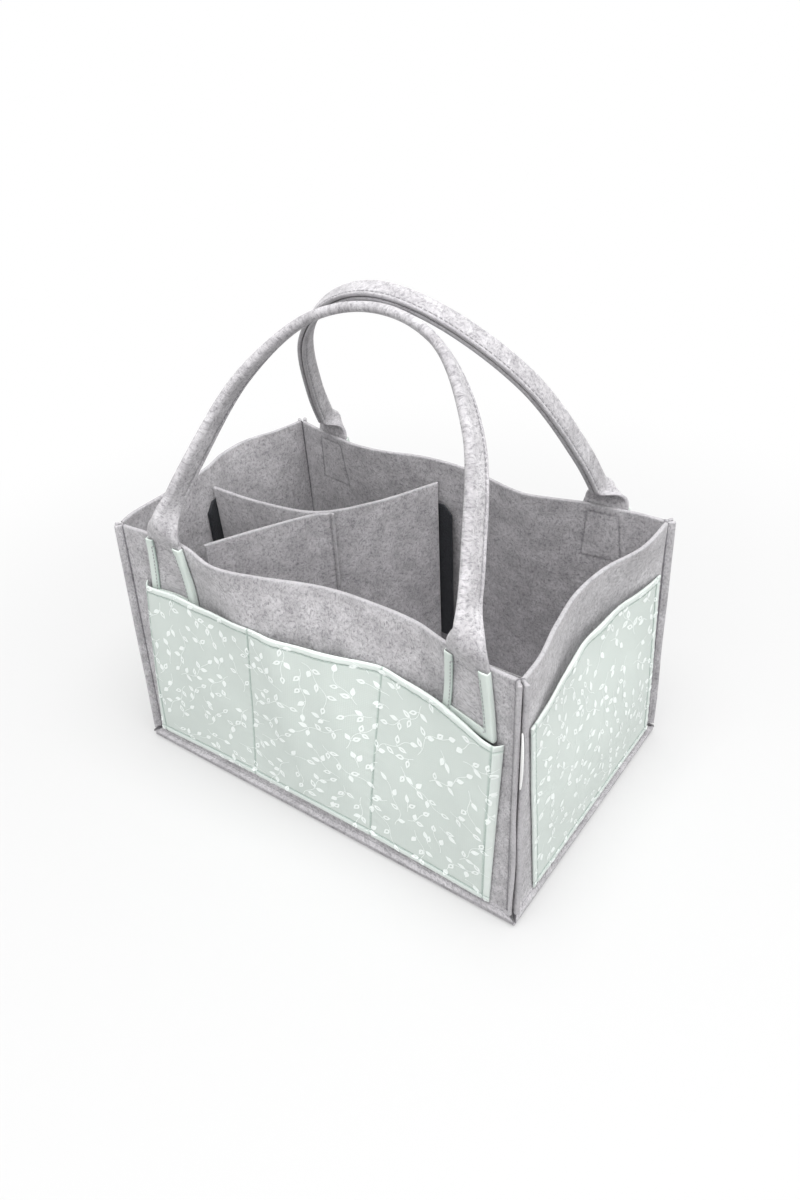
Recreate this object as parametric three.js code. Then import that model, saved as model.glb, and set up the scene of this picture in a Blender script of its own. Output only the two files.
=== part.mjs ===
// A felt baby care bag: an open box of 3 mm wool felt with outward seams, cotton pockets on
// three sides, two folded felt handles and a loose Y-shaped divider that grips the walls
// with hook tape.
//
// Frame: millimetres. +X runs along the long front, +Y from the front to the back, +Z up.
// The origin is on the floor under the middle of the bag. Front and back, left and right
// are as seen by someone who faces the front with its three pockets.

import * as THREE from 'three';

// Driving dimensions of the box
const baseLength = 343;
const baseWidth = 226;
const rimLength = 338;
const rimWidth = 213;
const wallHeight = 200;
const feltThickness = 3;
const seamGap = 0.3;
const wallFlange = 7;
const baseFlange = 9;
const cornerFlange = 7;
const cornerFlangeFoot = 2.5;
const baseSagWidth = 34;

// How far each wall bows inwards, in millimetres, at shares of its half length: at its rim
// and at the height of the pocket mouths. A bare wall bows at that height by calmBow times
// as much as at its rim. At the share lowBowRise of its height a wall bows by lowBow times
// as much as at the pocket mouths.
const frontRimBow = [
  [-1, 0], [-0.87, 1.5], [-0.74, 4], [-0.6, 1.5], [-0.4, -6.5], [-0.18, 1.5],
  [0.06, 14.5], [0.28, 18], [0.5, 15.5], [0.64, 8.5], [0.75, 5.5], [0.87, 1.5], [1, 0],
];
const backRimBow = [
  [-1, 0], [-0.87, 5.5], [-0.73, 10], [-0.58, 13.5], [-0.42, 11.5], [-0.25, 5], [-0.08, 3],
  [0.1, 6], [0.34, 15], [0.5, 10.5], [0.63, 5], [0.72, 3.5], [0.87, 0.5], [1, 0],
];
const rightRimBow = [[-1, 0], [-0.7, 2], [-0.4, 9], [-0.05, 13.5], [0.25, 10.5], [0.6, 0], [1, 0]];
const leftRimBow = [
  [-1, 0], [-0.8, -6], [-0.45, -7], [-0.05, -10], [0.2, -18], [0.45, -18], [0.7, -7], [1, 0],
];
const frontMouthBow = [
  [-1, 0], [-0.86, 3.5], [-0.7, 6.5], [-0.5, 3], [-0.3, -3.5], [-0.15, -1], [0.05, 7.5],
  [0.25, 11.5], [0.42, 12], [0.58, 13.5], [0.72, 10], [0.87, 3.5], [1, 0],
];
const rightMouthBow = [
  [-1, 0], [-0.85, 1.2], [-0.65, 5], [-0.4, 11], [-0.1, 16.5], [0.15, 16.5], [0.4, 13.5],
  [0.6, 7.5], [0.8, 3], [1, 0],
];
const calmBow = 0.7;
const lowBowRise = 0.3;
const lowBow = 0.22;
const rimDropShare = 2 / 3;

// Pockets. Each line is an edge or a seam: where it meets the mouth and the foot of the
// panel, and how much higher than pocketBottom the foot is there. Slack is how far the
// mouth stands off the wall along it, and rise is how much higher than pocketTop it is.
const clothThickness = 1.5;
const pocketTop = 159;
const pocketBottom = 10.5;
const frontPocketLines = [[-146, -160, 2], [-41, -57, 5], [60, 52, 4], [155, 150, 0]];
const frontMouthSlack = [
  [-146, 0], [-140, 6.4], [-118, 6.8], [-92, 6.6], [-75, 4.4], [-58, 1.6], [-41, 0], [-20, 4],
  [5, 6.8], [30, 5.5], [48, 2], [60, 0], [78, 3], [100, 6.4], [128, 7], [150, 6], [155, 0],
];
const frontMouthRise = [[-146, 0], [100, 0], [155, -9]];
const sidePocketLines = [[-92, -84, 0], [94, 99, 1]];
const sideMouthSlack = [[-92, 0], [-60, 3.5], [-15, 6.2], [20, 6.2], [60, 3.5], [94, 0]];
const sideMouthRise = [[-92, -0.5], [-40, 2.5], [60, 2.5], [94, 1]];
const pocketRamp = 6;
const pocketHem = 5;
const pocketStep = 22;

// Handles: one strap each, sewn flat to the wall and folded in half lengthwise above it.
// Roots are the middles of the two ends along the wall. The strap leans inwards until its
// top is at apexInset from the rim's middle line. Bulge is how far the crease stands out
// at the root, foldStart is how far below the rim each end begins to fold, foldLength is
// how far above it the strap is folded in half, tilts turn the fold by degrees at shares of
// the strap's length, and the arch is given in shares of its half span and its height.
const handles = {
  front: {
    roots: [-118, 128], apexInset: 11.65, bulge: 9.5, foldStart: 10, foldLength: 34,
    tilts: [
      [0, 0], [0.12, 0], [0.24, 14], [0.36, 28], [0.5, 11], [0.61, -12], [0.72, 6], [0.84, 18], [1, 16],
    ],
    arch: [[1, 0], [0.972, 0.12], [0.904, 0.31], [0.72, 0.67], [0.392, 0.925], [0, 1]],
  },
  back: {
    roots: [-125.5, 117.5], apexInset: 19.5, bulge: 2, foldStart: 5, foldLength: 22,
    tilts: [[0, 0], [0.2, -5], [0.36, 0], [0.52, 16], [0.66, 14], [0.82, 6], [1, 0]],
    arch: [[1, 0], [0.98, 0.12], [0.927, 0.31], [0.726, 0.67], [0.342, 0.925], [0, 1]],
  },
};
const archHeight = 180;
const strapWidth = 32;
const strapFootWidth = 42;
const strapCrease = 5.5;
const apexBulge = 1;
const tabBottom = 150;
const tabRise = 2;
const bindingWidth = 7;
const bindingThickness = 1.2;
const bindingOverhang = 0.5;
const leanLength = 20;
const rootBlend = 16;
const handleSeamInset = 2.8;

// Divider
const dividerTop = 184;
const dividerJunction = [-72, 7];
const dividerLeftBend = [-118, -4];
const dividerLeftEnd = -5;
const dividerBackBend = [-44, 41];
const dividerBackEnd = -20;
const dividerFrontBend = [-92, -33];
const dividerFrontEnd = [-112, -73];
const dividerFlap = 6;
const hookStripWidth = 24;
const hookStripHeight = 128;
const hookStripTop = 164;
const leftStripRaise = 9;
const hookStripThickness = 2;
const hookStripChamfer = 8;
const rimClearance = 0.8;

// Thread and label
const threadWidth = 0.9;
const threadThickness = 0.6;
const seamStitchInset = 1.6;
const seamStitchFoot = 2;
const tabStitchInset = 5.2;
const tabStitchTop = 194;
const labelBottom = 124;
const labelHeight = 43;
const labelReach = 3.2;
const labelThickness = 0.8;

// Materials
const finish = (color, roughness) => new THREE.MeshStandardMaterial({ color, roughness, metalness: 0 });
const feltGrey = finish('#b4b2b4', 0.97);
const mintCotton = finish('#cdd8d3', 0.9);
const mintBinding = finish('#d5dfda', 0.9);
const hookTape = finish('#15171c', 0.8);
const greyThread = finish('#a3a1a4', 0.85);
const mintThread = finish('#c2d0ca', 0.85);
const whiteLabel = finish('#f4f4f2', 0.8);

const bag = new THREE.Group();

function addPiece(name, geometry, material) {
  const mesh = new THREE.Mesh(geometry, material);
  mesh.name = name;
  bag.add(mesh);
}

// Geometry helpers

function evenly(from, to, steps) {
  return Array.from({ length: steps + 1 }, (_, i) => from + ((to - from) * i) / steps);
}

function smooth(edge0, edge1, value) {
  return THREE.MathUtils.smoothstep(value, edge0, edge1);
}

// A smooth curve y(x) through a list of points, with the slope at each point taken from
// the points beside it.
function curveThrough(points, x) {
  const last = points.length - 1;
  let i = 0;
  while (i < last - 1 && x > points[i + 1][0]) i += 1;
  const slope = (k) => {
    const before = points[Math.max(k - 1, 0)];
    const after = points[Math.min(k + 1, last)];
    return (after[1] - before[1]) / (after[0] - before[0]);
  };
  const [x0, y0] = points[i];
  const [x1, y1] = points[i + 1];
  const width = x1 - x0;
  const t = THREE.MathUtils.clamp((x - x0) / width, 0, 1);
  const blend0 = (1 + 2 * t) * (1 - t) ** 2;
  const blend1 = t * t * (3 - 2 * t);
  return blend0 * y0 + blend1 * y1
    + width * t * (1 - t) * ((1 - t) * slope(i) - t * slope(i + 1));
}

// A closed solid from a grid of columns and rows. pointAt(column, row, face) places a
// corner of the grid on the inner face (0) or the outer face (1), and keep(i, j) says
// which cells of the grid are cloth. The open edges are closed with side faces.
function sheetSolid(columns, rows, pointAt, keep = () => true) {
  const positions = [];
  const indices = [];
  const known = new Map();
  const corner = (i, j, face) => {
    const key = (face * rows.length + j) * columns.length + i;
    if (!known.has(key)) {
      known.set(key, positions.length / 3);
      positions.push(...pointAt(columns[i], rows[j], face));
    }
    return known.get(key);
  };
  const quad = (a, b, c, d) => indices.push(a, b, c, a, c, d);
  const kept = (i, j) => i >= 0 && j >= 0 && i < columns.length - 1 && j < rows.length - 1 && keep(i, j);
  const side = (i0, j0, i1, j1) => {
    quad(corner(i0, j0, 1), corner(i0, j0, 0), corner(i1, j1, 0), corner(i1, j1, 1));
  };
  for (let i = 0; i < columns.length - 1; i += 1) {
    for (let j = 0; j < rows.length - 1; j += 1) {
      if (!kept(i, j)) continue;
      quad(corner(i, j, 1), corner(i + 1, j, 1), corner(i + 1, j + 1, 1), corner(i, j + 1, 1));
      quad(corner(i, j, 0), corner(i, j + 1, 0), corner(i + 1, j + 1, 0), corner(i + 1, j, 0));
      if (!kept(i, j - 1)) side(i, j, i + 1, j);
      if (!kept(i + 1, j)) side(i + 1, j, i + 1, j + 1);
      if (!kept(i, j + 1)) side(i + 1, j + 1, i, j + 1);
      if (!kept(i - 1, j)) side(i, j + 1, i, j);
    }
  }
  return outward(positions, indices);
}

// A BufferGeometry whose faces point out: if the enclosed volume comes out negative,
// every triangle is turned round.
function outward(positions, indices) {
  const [a, b, c] = [new THREE.Vector3(), new THREE.Vector3(), new THREE.Vector3()];
  let volume = 0;
  for (let k = 0; k < indices.length; k += 3) {
    a.fromArray(positions, indices[k] * 3);
    b.fromArray(positions, indices[k + 1] * 3);
    c.fromArray(positions, indices[k + 2] * 3);
    volume += a.dot(b.cross(c));
  }
  if (volume < 0) indices.reverse();
  const geometry = new THREE.BufferGeometry();
  geometry.setAttribute('position', new THREE.Float32BufferAttribute(positions, 3));
  geometry.setIndex(indices);
  geometry.computeVertexNormals();
  return geometry;
}

// The box. Its seams are pairs of raw edges turned out at 45 degrees, so every seam runs
// along the line where the two inner faces meet.
const diagonal = Math.SQRT1_2;
const seamReach = (wallFlange + seamGap / 2 + feltThickness) * diagonal;
const seamRootZ = (baseFlange + seamGap / 2 + feltThickness) * diagonal;
const innerHalfLength = baseLength / 2 - seamReach;
const innerHalfWidth = baseWidth / 2 - seamReach;
const lengthTaper = (baseLength - rimLength) / 2;
const widthTaper = (baseWidth - rimWidth) / 2;
const mitreShift = feltThickness * (Math.SQRT2 - 1);

// Each wall has its own frame: s along it, o outwards from the middle of the bag.
const alongX = {
  half: innerHalfLength, halfTaper: lengthTaper, inner: innerHalfWidth, innerTaper: widthTaper,
};
const alongY = {
  half: innerHalfWidth, halfTaper: widthTaper, inner: innerHalfLength, innerTaper: lengthTaper,
};
const calm = (rimBow) => rimBow.map(([share, bow]) => [share, bow * calmBow]);
const bows = {
  front: { rimBow: frontRimBow, mouthBow: frontMouthBow },
  back: { rimBow: backRimBow, mouthBow: calm(backRimBow) },
  right: { rimBow: rightRimBow, mouthBow: rightMouthBow },
  left: { rimBow: leftRimBow, mouthBow: calm(leftRimBow) },
};
const walls = {
  front: { ...alongX, ...bows.front, place: (s, o, z) => [s, -o, z] },
  back: { ...alongX, ...bows.back, place: (s, o, z) => [s, o, z] },
  right: { ...alongY, ...bows.right, place: (s, o, z) => [o, s, z] },
  left: { ...alongY, ...bows.left, place: (s, o, z) => [-o, s, z] },
};

function riseAt(z) {
  return Math.max(z - seamRootZ, 0) / (wallHeight - seamRootZ);
}

function innerAt(wall, z) {
  return wall.inner - wall.innerTaper * riseAt(z);
}

function halfAt(wall, z) {
  return wall.half - wall.halfTaper * riseAt(z);
}

function bowAt(wall, s, z) {
  if (Math.abs(s) >= wall.half) return 0;
  const mouth = curveThrough(wall.mouthBow, s / wall.half);
  const rim = curveThrough(wall.rimBow, s / wall.half);
  const heights = [[0, 0], [lowBowRise, lowBow * mouth], [riseAt(pocketTop), mouth], [1, rim]];
  return curveThrough(heights, riseAt(z));
}

// A wall that bows keeps its length, so its rim drops a little there.
function rimAt(wall, s) {
  return wallHeight - rimDropShare * bowAt(wall, s, wallHeight) ** 2 / wallHeight;
}

// A point at a distance outwards from a wall's inner face
function onWall(wall, s, z, distance) {
  return wall.place(s, innerAt(wall, z) - bowAt(wall, s, z) + distance, z);
}

const wallRows = 12;

function wallSolid(wall, steps) {
  const tip = wall.half + cornerFlange;
  const columns = [-tip, ...evenly(-wall.half, wall.half, steps), tip];
  const flangeTipRow = -2;
  const rootRow = -1;
  const rows = [flangeTipRow, rootRow, ...evenly(0, 1, wallRows)];
  const footZ = seamRootZ + cornerFlangeFoot;
  const pointAt = (s, row, face) => {
    const side = Math.sign(s);
    if (row === flangeTipRow || row === rootRow) {
      const length = row === flangeTipRow ? wallFlange : 0;
      const lift = seamGap / 2 + face * feltThickness;
      const reach = row === rootRow ? face * feltThickness : (length + lift) * diagonal;
      const z = row === rootRow ? seamRootZ + face * mitreShift : seamRootZ + (lift - length) * diagonal;
      const stretch = (wall.half + reach - seamGap) / wall.half;
      const cornerCut = row === rootRow && Math.abs(s) === wall.half;
      const corner = side * (wall.half - seamGap * diagonal - face * mitreShift);
      const along = cornerCut ? corner : s * (row === rootRow ? 1 : stretch);
      return wall.place(along, wall.inner + reach, z);
    }
    const z = footZ + (rimAt(wall, THREE.MathUtils.clamp(s, -wall.half, wall.half)) - footZ) * row;
    if (Math.abs(s) > wall.half) {
      const across = seamGap / 2 + face * feltThickness;
      const along = halfAt(wall, z) + (cornerFlange - across) * diagonal;
      return wall.place(side * along, innerAt(wall, z) + (cornerFlange + across) * diagonal, z);
    }
    if (Math.abs(s) === wall.half) {
      const along = halfAt(wall, z) - seamGap * diagonal - face * mitreShift;
      return wall.place(side * along, innerAt(wall, z) + face * feltThickness, z);
    }
    return onWall(wall, s, z, face * feltThickness);
  };
  const lastColumn = columns.length - 2;
  const keep = (i, j) => j >= 2 || (i > 0 && i < lastColumn);
  return sheetSolid(columns, rows, pointAt, keep);
}

addPiece('front_wall', wallSolid(walls.front, 40), feltGrey);
addPiece('back_wall', wallSolid(walls.back, 40), feltGrey);
addPiece('left_wall', wallSolid(walls.left, 26), feltGrey);
addPiece('right_wall', wallSolid(walls.right, 26), feltGrey);

// The base lies on the floor, rises to the seam near the walls and turns down again in
// the lower layer of the flange.
const baseEdgeZ = seamRootZ - seamGap * diagonal;

function baseTopAt(x, y) {
  const toWall = Math.min(innerHalfLength - Math.abs(x), innerHalfWidth - Math.abs(y));
  return baseEdgeZ - (baseEdgeZ - feltThickness) * smooth(0, baseSagWidth, toWall);
}

function baseSolid() {
  const stations = (half, steps) => {
    const flat = half - baseSagWidth;
    const ramp = evenly(flat, half, 4).slice(1);
    return [...ramp.map((v) => -v).reverse(), ...evenly(-flat, flat, steps), ...ramp];
  };
  const tipX = innerHalfLength + baseFlange;
  const tipY = innerHalfWidth + baseFlange;
  const columns = [-tipX, ...stations(innerHalfLength, 2), tipX];
  const rows = [-tipY, ...stations(innerHalfWidth, 2), tipY];
  const under = (face) => (1 - face) * feltThickness;
  const pointAt = (x, y, face) => {
    const overX = Math.abs(x) > innerHalfLength;
    const overY = Math.abs(y) > innerHalfWidth;
    const drop = seamGap / 2 + under(face);
    const tipReach = (baseFlange - drop) * diagonal;
    const tipZ = seamRootZ - (baseFlange + drop) * diagonal;
    if (overX) {
      const stretch = (innerHalfWidth + tipReach - seamGap) / innerHalfWidth;
      return [Math.sign(x) * (innerHalfLength + tipReach), y * stretch, tipZ];
    }
    if (overY) {
      const stretch = (innerHalfLength + tipReach - seamGap) / innerHalfLength;
      return [x * stretch, Math.sign(y) * (innerHalfWidth + tipReach), tipZ];
    }
    const inX = Math.abs(x) === innerHalfLength ? mitreShift * (1 - face) + seamGap : 0;
    const inY = Math.abs(y) === innerHalfWidth ? mitreShift * (1 - face) + seamGap : 0;
    return [x - Math.sign(x) * inX, y - Math.sign(y) * inY, baseTopAt(x, y) - under(face)];
  };
  const lastColumn = columns.length - 2;
  const lastRow = rows.length - 2;
  const keep = (i, j) => (i > 0 && i < lastColumn) || (j > 0 && j < lastRow);
  return sheetSolid(columns, rows, pointAt, keep);
}

addPiece('base_panel', baseSolid(), feltGrey);

// A run of thread on a surface: a flat bead that follows the surface at a small gap.
// The seams are sewn with separate stitches; the bead stands for the whole run.
function threadAlong(columns, rows, surface, keep) {
  const pointAt = (u, v, face) => surface(u, v, seamGap + face * threadThickness);
  return sheetSolid(columns, rows, pointAt, keep);
}

// Corner seams: the stitches run down the flange, close to its root.
const cornerThreadFoot = seamRootZ + cornerFlangeFoot + seamStitchFoot;
const corners = { front_left: [-1, -1], front_right: [1, -1], back_left: [-1, 1], back_right: [1, 1] };
for (const [name, [sideX, sideY]] of Object.entries(corners)) {
  const surface = (along, z, height) => {
    const out = along * diagonal;
    const across = (seamGap / 2 + feltThickness + height) * diagonal;
    const x = innerAt(walls.right, z) + out - across;
    const y = innerAt(walls.front, z) + out + across;
    return [sideX * x, sideY * y, z];
  };
  const start = seamStitchInset + mitreShift;
  const rows = [cornerThreadFoot, wallHeight - threadWidth];
  const columns = [start, start + threadWidth];
  addPiece(`${name}_corner_thread`, threadAlong(columns, rows, surface), greyThread);
}

// Bottom seams: the stitches run along the upper layer of the flange.
for (const [name, wall] of Object.entries(walls)) {
  const surface = (s, along, height) => {
    const lift = seamGap / 2 + feltThickness + height;
    return wall.place(s, wall.inner + (along + lift) * diagonal, seamRootZ + (lift - along) * diagonal);
  };
  const end = wall.half - cornerFlange;
  const start = seamStitchInset + mitreShift;
  const rows = [start, start + threadWidth];
  addPiece(`${name}_bottom_thread`, threadAlong(evenly(-end, end, 2), rows, surface), greyThread);
}

// Pockets: a cotton panel sewn down at its sides, its bottom and its dividing seams. It
// stands away from the wall between them, most at the mouth. A place on it is given by
// s at the mouth and by the height that it would have on an unshifted panel.
function pocketSlackAt(pocket, s, z) {
  const height = THREE.MathUtils.clamp((z - pocketBottom) / (pocketTop - pocketBottom), 0, 1);
  return Math.max(curveThrough(pocket.slack, s), 0) * Math.sin((height * Math.PI) / 2);
}

function onPocket(pocket, s, z, distance) {
  const toFoot = THREE.MathUtils.clamp((pocketTop - z) / (pocketTop - pocketBottom), 0, 1);
  const off = feltThickness + seamGap + pocketSlackAt(pocket, s, z) + distance;
  const shifted = s + curveThrough(pocket.shifts, s) * toFoot;
  const raised = z + curveThrough(pocket.footRises, s) * toFoot
    + curveThrough(pocket.mouthRises, s) * (1 - toFoot);
  return onWall(pocket.wall, shifted, raised, off);
}

function pocketOn(wall, lines, slack, mouthRises) {
  return {
    wall,
    slack,
    mouthRises,
    mouths: lines.map(([mouth]) => mouth),
    shifts: lines.map(([mouth, foot]) => [mouth, foot - mouth]),
    footRises: lines.map(([mouth, , rise]) => [mouth, rise]),
  };
}

const pockets = {
  front: pocketOn(walls.front, frontPocketLines, frontMouthSlack, frontMouthRise),
  right: pocketOn(walls.right, sidePocketLines, sideMouthSlack, sideMouthRise),
  left: pocketOn(walls.left, sidePocketLines, sideMouthSlack, sideMouthRise),
};

// The grid lines of a pocket: its edges and seams, the lines that its stitches run
// between, and even steps over the slack cloth.
function pocketColumns({ mouths }) {
  const columns = [];
  mouths.forEach((stop, k) => {
    const first = k === 0;
    const last = k === mouths.length - 1;
    if (!first) {
      const start = mouths[k - 1] + pocketRamp;
      const end = stop - pocketRamp;
      columns.push(...evenly(start, end, Math.max(2, Math.round((end - start) / pocketStep))));
    }
    const ramp = pocketRamp / 2;
    const stitch = threadWidth / 2;
    if (first) columns.push(stop, stop + pocketHem, stop + pocketHem + threadWidth);
    else if (last) columns.push(stop - pocketHem - threadWidth, stop - pocketHem, stop);
    else columns.push(stop - ramp, stop - stitch, stop + stitch, stop + ramp);
  });
  return columns;
}

const hemFoot = pocketBottom + pocketHem;
const hemHead = pocketTop - pocketHem;
const pocketRows = [
  pocketBottom, hemFoot, hemFoot + threadWidth,
  ...evenly(hemFoot + threadWidth + seamGap, hemHead - threadWidth - seamGap, 5),
  hemHead - threadWidth, hemHead, pocketTop,
];

for (const [name, pocket] of Object.entries(pockets)) {
  const columns = pocketColumns(pocket);
  const panel = (s, z, face) => onPocket(pocket, s, z, face * clothThickness);
  addPiece(`${name}_pocket_panel`, sheetSolid(columns, pocketRows, panel), mintCotton);

  // The hem stitches go once round the panel, one grid line in from its edge.
  const surface = (s, z, height) => onPocket(pocket, s, z, clothThickness + height);
  const lastColumn = columns.length - 3;
  const lastRow = pocketRows.length - 3;
  const inside = (i, j) => i >= 1 && j >= 1 && i <= lastColumn && j <= lastRow;
  const ring = (i, j) => inside(i, j) && (i === 1 || j === 1 || i === lastColumn || j === lastRow);
  addPiece(`${name}_pocket_hem_thread`, threadAlong(columns, pocketRows, surface, ring), mintThread);

  // Each dividing seam runs between the lower and the upper hem stitches.
  pocket.mouths.slice(1, -1).forEach((seam, k) => {
    const seamColumns = [seam - threadWidth / 2, seam + threadWidth / 2];
    const rows = pocketRows.slice(3, -3);
    addPiece(`${name}_pocket_seam_thread_${k + 1}`, threadAlong(seamColumns, rows, surface), mintThread);
  });
}

// A strap's cross-section: across it from its crease and height over its middle surface
// give a place sideways and a depth behind the crease. It is flat where folded is 0 and
// folded in half where that is 1; it bends only at the crease.
const leastFold = 0.001;

function strapSection(across, height, folded) {
  const fold = Math.PI * Math.max(folded, leastFold);
  const bend = fold * THREE.MathUtils.clamp(across / strapCrease, -0.5, 0.5);
  const straight = Math.sign(across) * Math.max(Math.abs(across) - strapCrease / 2, 0);
  const radius = strapCrease / fold;
  return {
    sideways: radius * Math.sin(bend) + straight * Math.cos(bend) + height * Math.sin(bend),
    depth: radius * (1 - Math.cos(bend)) + Math.abs(straight * Math.sin(bend))
      - height * Math.cos(bend),
  };
}

// How far a strap is folded at a distance past its root, which is negative below the rim
function foldedAt({ foldStart, foldLength }, pastRoot) {
  return smooth(-foldStart, foldLength, pastRoot);
}

// Handle ends: each end of a strap is sewn to the outside of the wall by its edges, and its
// middle begins to fold up just below the rim. It is cut wider towards its foot, and a
// cotton binding covers its two sides and its lower end.
const foldZ = wallHeight + tabRise;
const tabOffset = feltThickness + seamGap;
const bindingOffset = tabOffset + feltThickness + 2 * seamGap;

for (const [wallName, handle] of Object.entries(handles)) {
  const wall = walls[wallName];
  handle.roots.forEach((centre, k) => {
    const name = `${wallName}_${['left', 'right'][k]}_tab`;
    // Places across the tab are given from its middle, as they are at the rim. Each half
    // moves outwards by half of what the tab widens by.
    const surface = (across, z, distance) => {
      const toFoot = THREE.MathUtils.clamp((foldZ - z) / (foldZ - tabBottom), 0, 1);
      const widening = ((strapFootWidth - strapWidth) / 2) * toFoot;
      const folded = foldedAt(handle, z - foldZ);
      const middle = tabOffset + feltThickness / 2;
      const { sideways, depth } = strapSection(across, distance - middle, folded);
      const edge = strapSection(strapWidth / 2, 0, folded);
      const place = centre + sideways + Math.sign(across) * widening;
      return onWall(wall, place, z, middle + edge.depth - depth);
    };
    const half = strapWidth / 2;
    const tabColumns = [
      ...evenly(-half, -strapCrease / 2, 2), 0, ...evenly(strapCrease / 2, half, 2),
    ];
    const tab = (across, z, face) => surface(across, z, tabOffset + face * feltThickness);
    addPiece(name, sheetSolid(tabColumns, evenly(tabBottom, foldZ, 8), tab), feltGrey);

    const outer = half + bindingOverhang;
    const inner = outer - bindingWidth;
    const columns = [-outer, ...evenly(-inner, inner, 2), outer];
    const rows = [tabBottom - bindingOverhang, tabBottom - bindingOverhang + bindingWidth,
      ...evenly(tabBottom + 2 * bindingWidth, wallHeight - threadWidth, 4)];
    const binding = (across, z, face) => surface(across, z, bindingOffset + face * bindingThickness);
    const frame = (i, j) => i === 0 || j === 0 || i === columns.length - 2;
    addPiece(`${name}_binding`, sheetSolid(columns, rows, binding, frame), mintBinding);

    const stitchHalf = half - tabStitchInset;
    const stitchColumns = [
      -stitchHalf, -stitchHalf + threadWidth, 0, stitchHalf - threadWidth, stitchHalf,
    ];
    const low = tabBottom + tabStitchInset;
    const stitchRows = [low, ...evenly(low + threadWidth, tabStitchTop - threadWidth, 2), tabStitchTop];
    const stitches = (across, z, height) => surface(across, z, bindingOffset + bindingThickness + height);
    const [lastColumn, lastRow] = [stitchColumns.length - 2, stitchRows.length - 2];
    const ring = (i, j) => i === 0 || j === 0 || i === lastColumn || j === lastRow;
    addPiece(`${name}_thread`, threadAlong(stitchColumns, stitchRows, stitches, ring), greyThread);
  });
}

// Handle straps: each follows an arch in a plane that leans inwards from just above the
// rim. Away from its ends the strap is folded in half lengthwise, with the crease outside
// and the two raw edges inside, and the fold is tilted a little outwards from the arch.
const leanSteps = 20;
const foldSteps = 6;
const archSteps = 34;

function leanTableFor(lean) {
  const step = leanLength / leanSteps;
  const table = [[0, 0]];
  for (let k = 0; k < leanSteps; k += 1) {
    const angle = lean * smooth(0, leanLength, (k + 0.5) * step);
    const [inwards, up] = table[k];
    table.push([inwards + Math.sin(angle) * step, up + Math.cos(angle) * step]);
  }
  return table;
}

// How far inwards and how high a point is after a length h up the leaning plane
function leanAt(handle, h) {
  const angle = handle.lean * smooth(0, leanLength, h);
  const place = (THREE.MathUtils.clamp(h, 0, leanLength) / leanLength) * leanSteps;
  const k = Math.min(Math.floor(place), leanSteps - 1);
  const [low, high] = [handle.leanTable[k], handle.leanTable[k + 1]];
  const beyond = Math.max(h - leanLength, 0);
  return {
    angle,
    inwards: THREE.MathUtils.lerp(low[0], high[0], place - k) + Math.sin(angle) * beyond,
    up: THREE.MathUtils.lerp(low[1], high[1], place - k) + Math.cos(angle) * beyond,
  };
}

// A point of the strap: length along it, width across it from the crease, and height
// over its middle surface, positive on the outside of the fold.
function onStrap(handle, length, width, height) {
  const share = THREE.MathUtils.clamp(length / handle.length, 0, 1);
  const along = handle.curve.getPointAt(share);
  const way = handle.curve.getTangentAt(share);
  const pastRoot = Math.min(length, handle.length - length);
  const folded = foldedAt(handle, pastRoot);
  const { sideways, depth } = strapSection(width, height, folded);
  const edgeDepth = strapSection(strapWidth / 2, 0, folded).depth;

  // The fold turns about its own middle. At the root its edges lie on the wall, and away
  // from it the crease stands out by the bulge.
  const away = smooth(0, handle.foldLength, pastRoot);
  const tilt = THREE.MathUtils.degToRad(curveThrough(handle.tilts, share)) * away;
  const middle = edgeDepth / 2;
  const across = sideways * Math.cos(tilt) - (depth - middle) * Math.sin(tilt);
  const bulge = THREE.MathUtils.lerp(handle.bulge, apexBulge, along.y / archHeight);
  const inwards = middle + sideways * Math.sin(tilt) + (depth - middle) * Math.cos(tilt)
    - THREE.MathUtils.lerp(edgeDepth, bulge, away);

  const x = along.x + across * way.y;
  const lean = leanAt(handle, along.y - across * way.x);
  const [left, right] = handle.roots;
  const rootLine = THREE.MathUtils.mapLinear(along.x, left, right, ...handle.rootOffsets);
  const rim = strapOffsetAt(handle.wall, x);
  const root = THREE.MathUtils.lerp(rim, rootLine, smooth(0, rootBlend, pastRoot));
  const o = root - lean.inwards - inwards * Math.cos(lean.angle);
  const z = foldZ + seamGap + lean.up - inwards * Math.sin(lean.angle);
  return handle.wall.place(x, o, z);
}

// Where the strap's middle surface meets the rim
function strapOffsetAt(wall, s) {
  return innerAt(wall, wallHeight) - bowAt(wall, s, wallHeight) + tabOffset + feltThickness / 2;
}

const strapAcross = [-strapWidth / 2, -strapCrease / 2, -strapCrease / 4, 0,
  strapCrease / 4, strapCrease / 2, strapWidth / 2];

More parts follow.
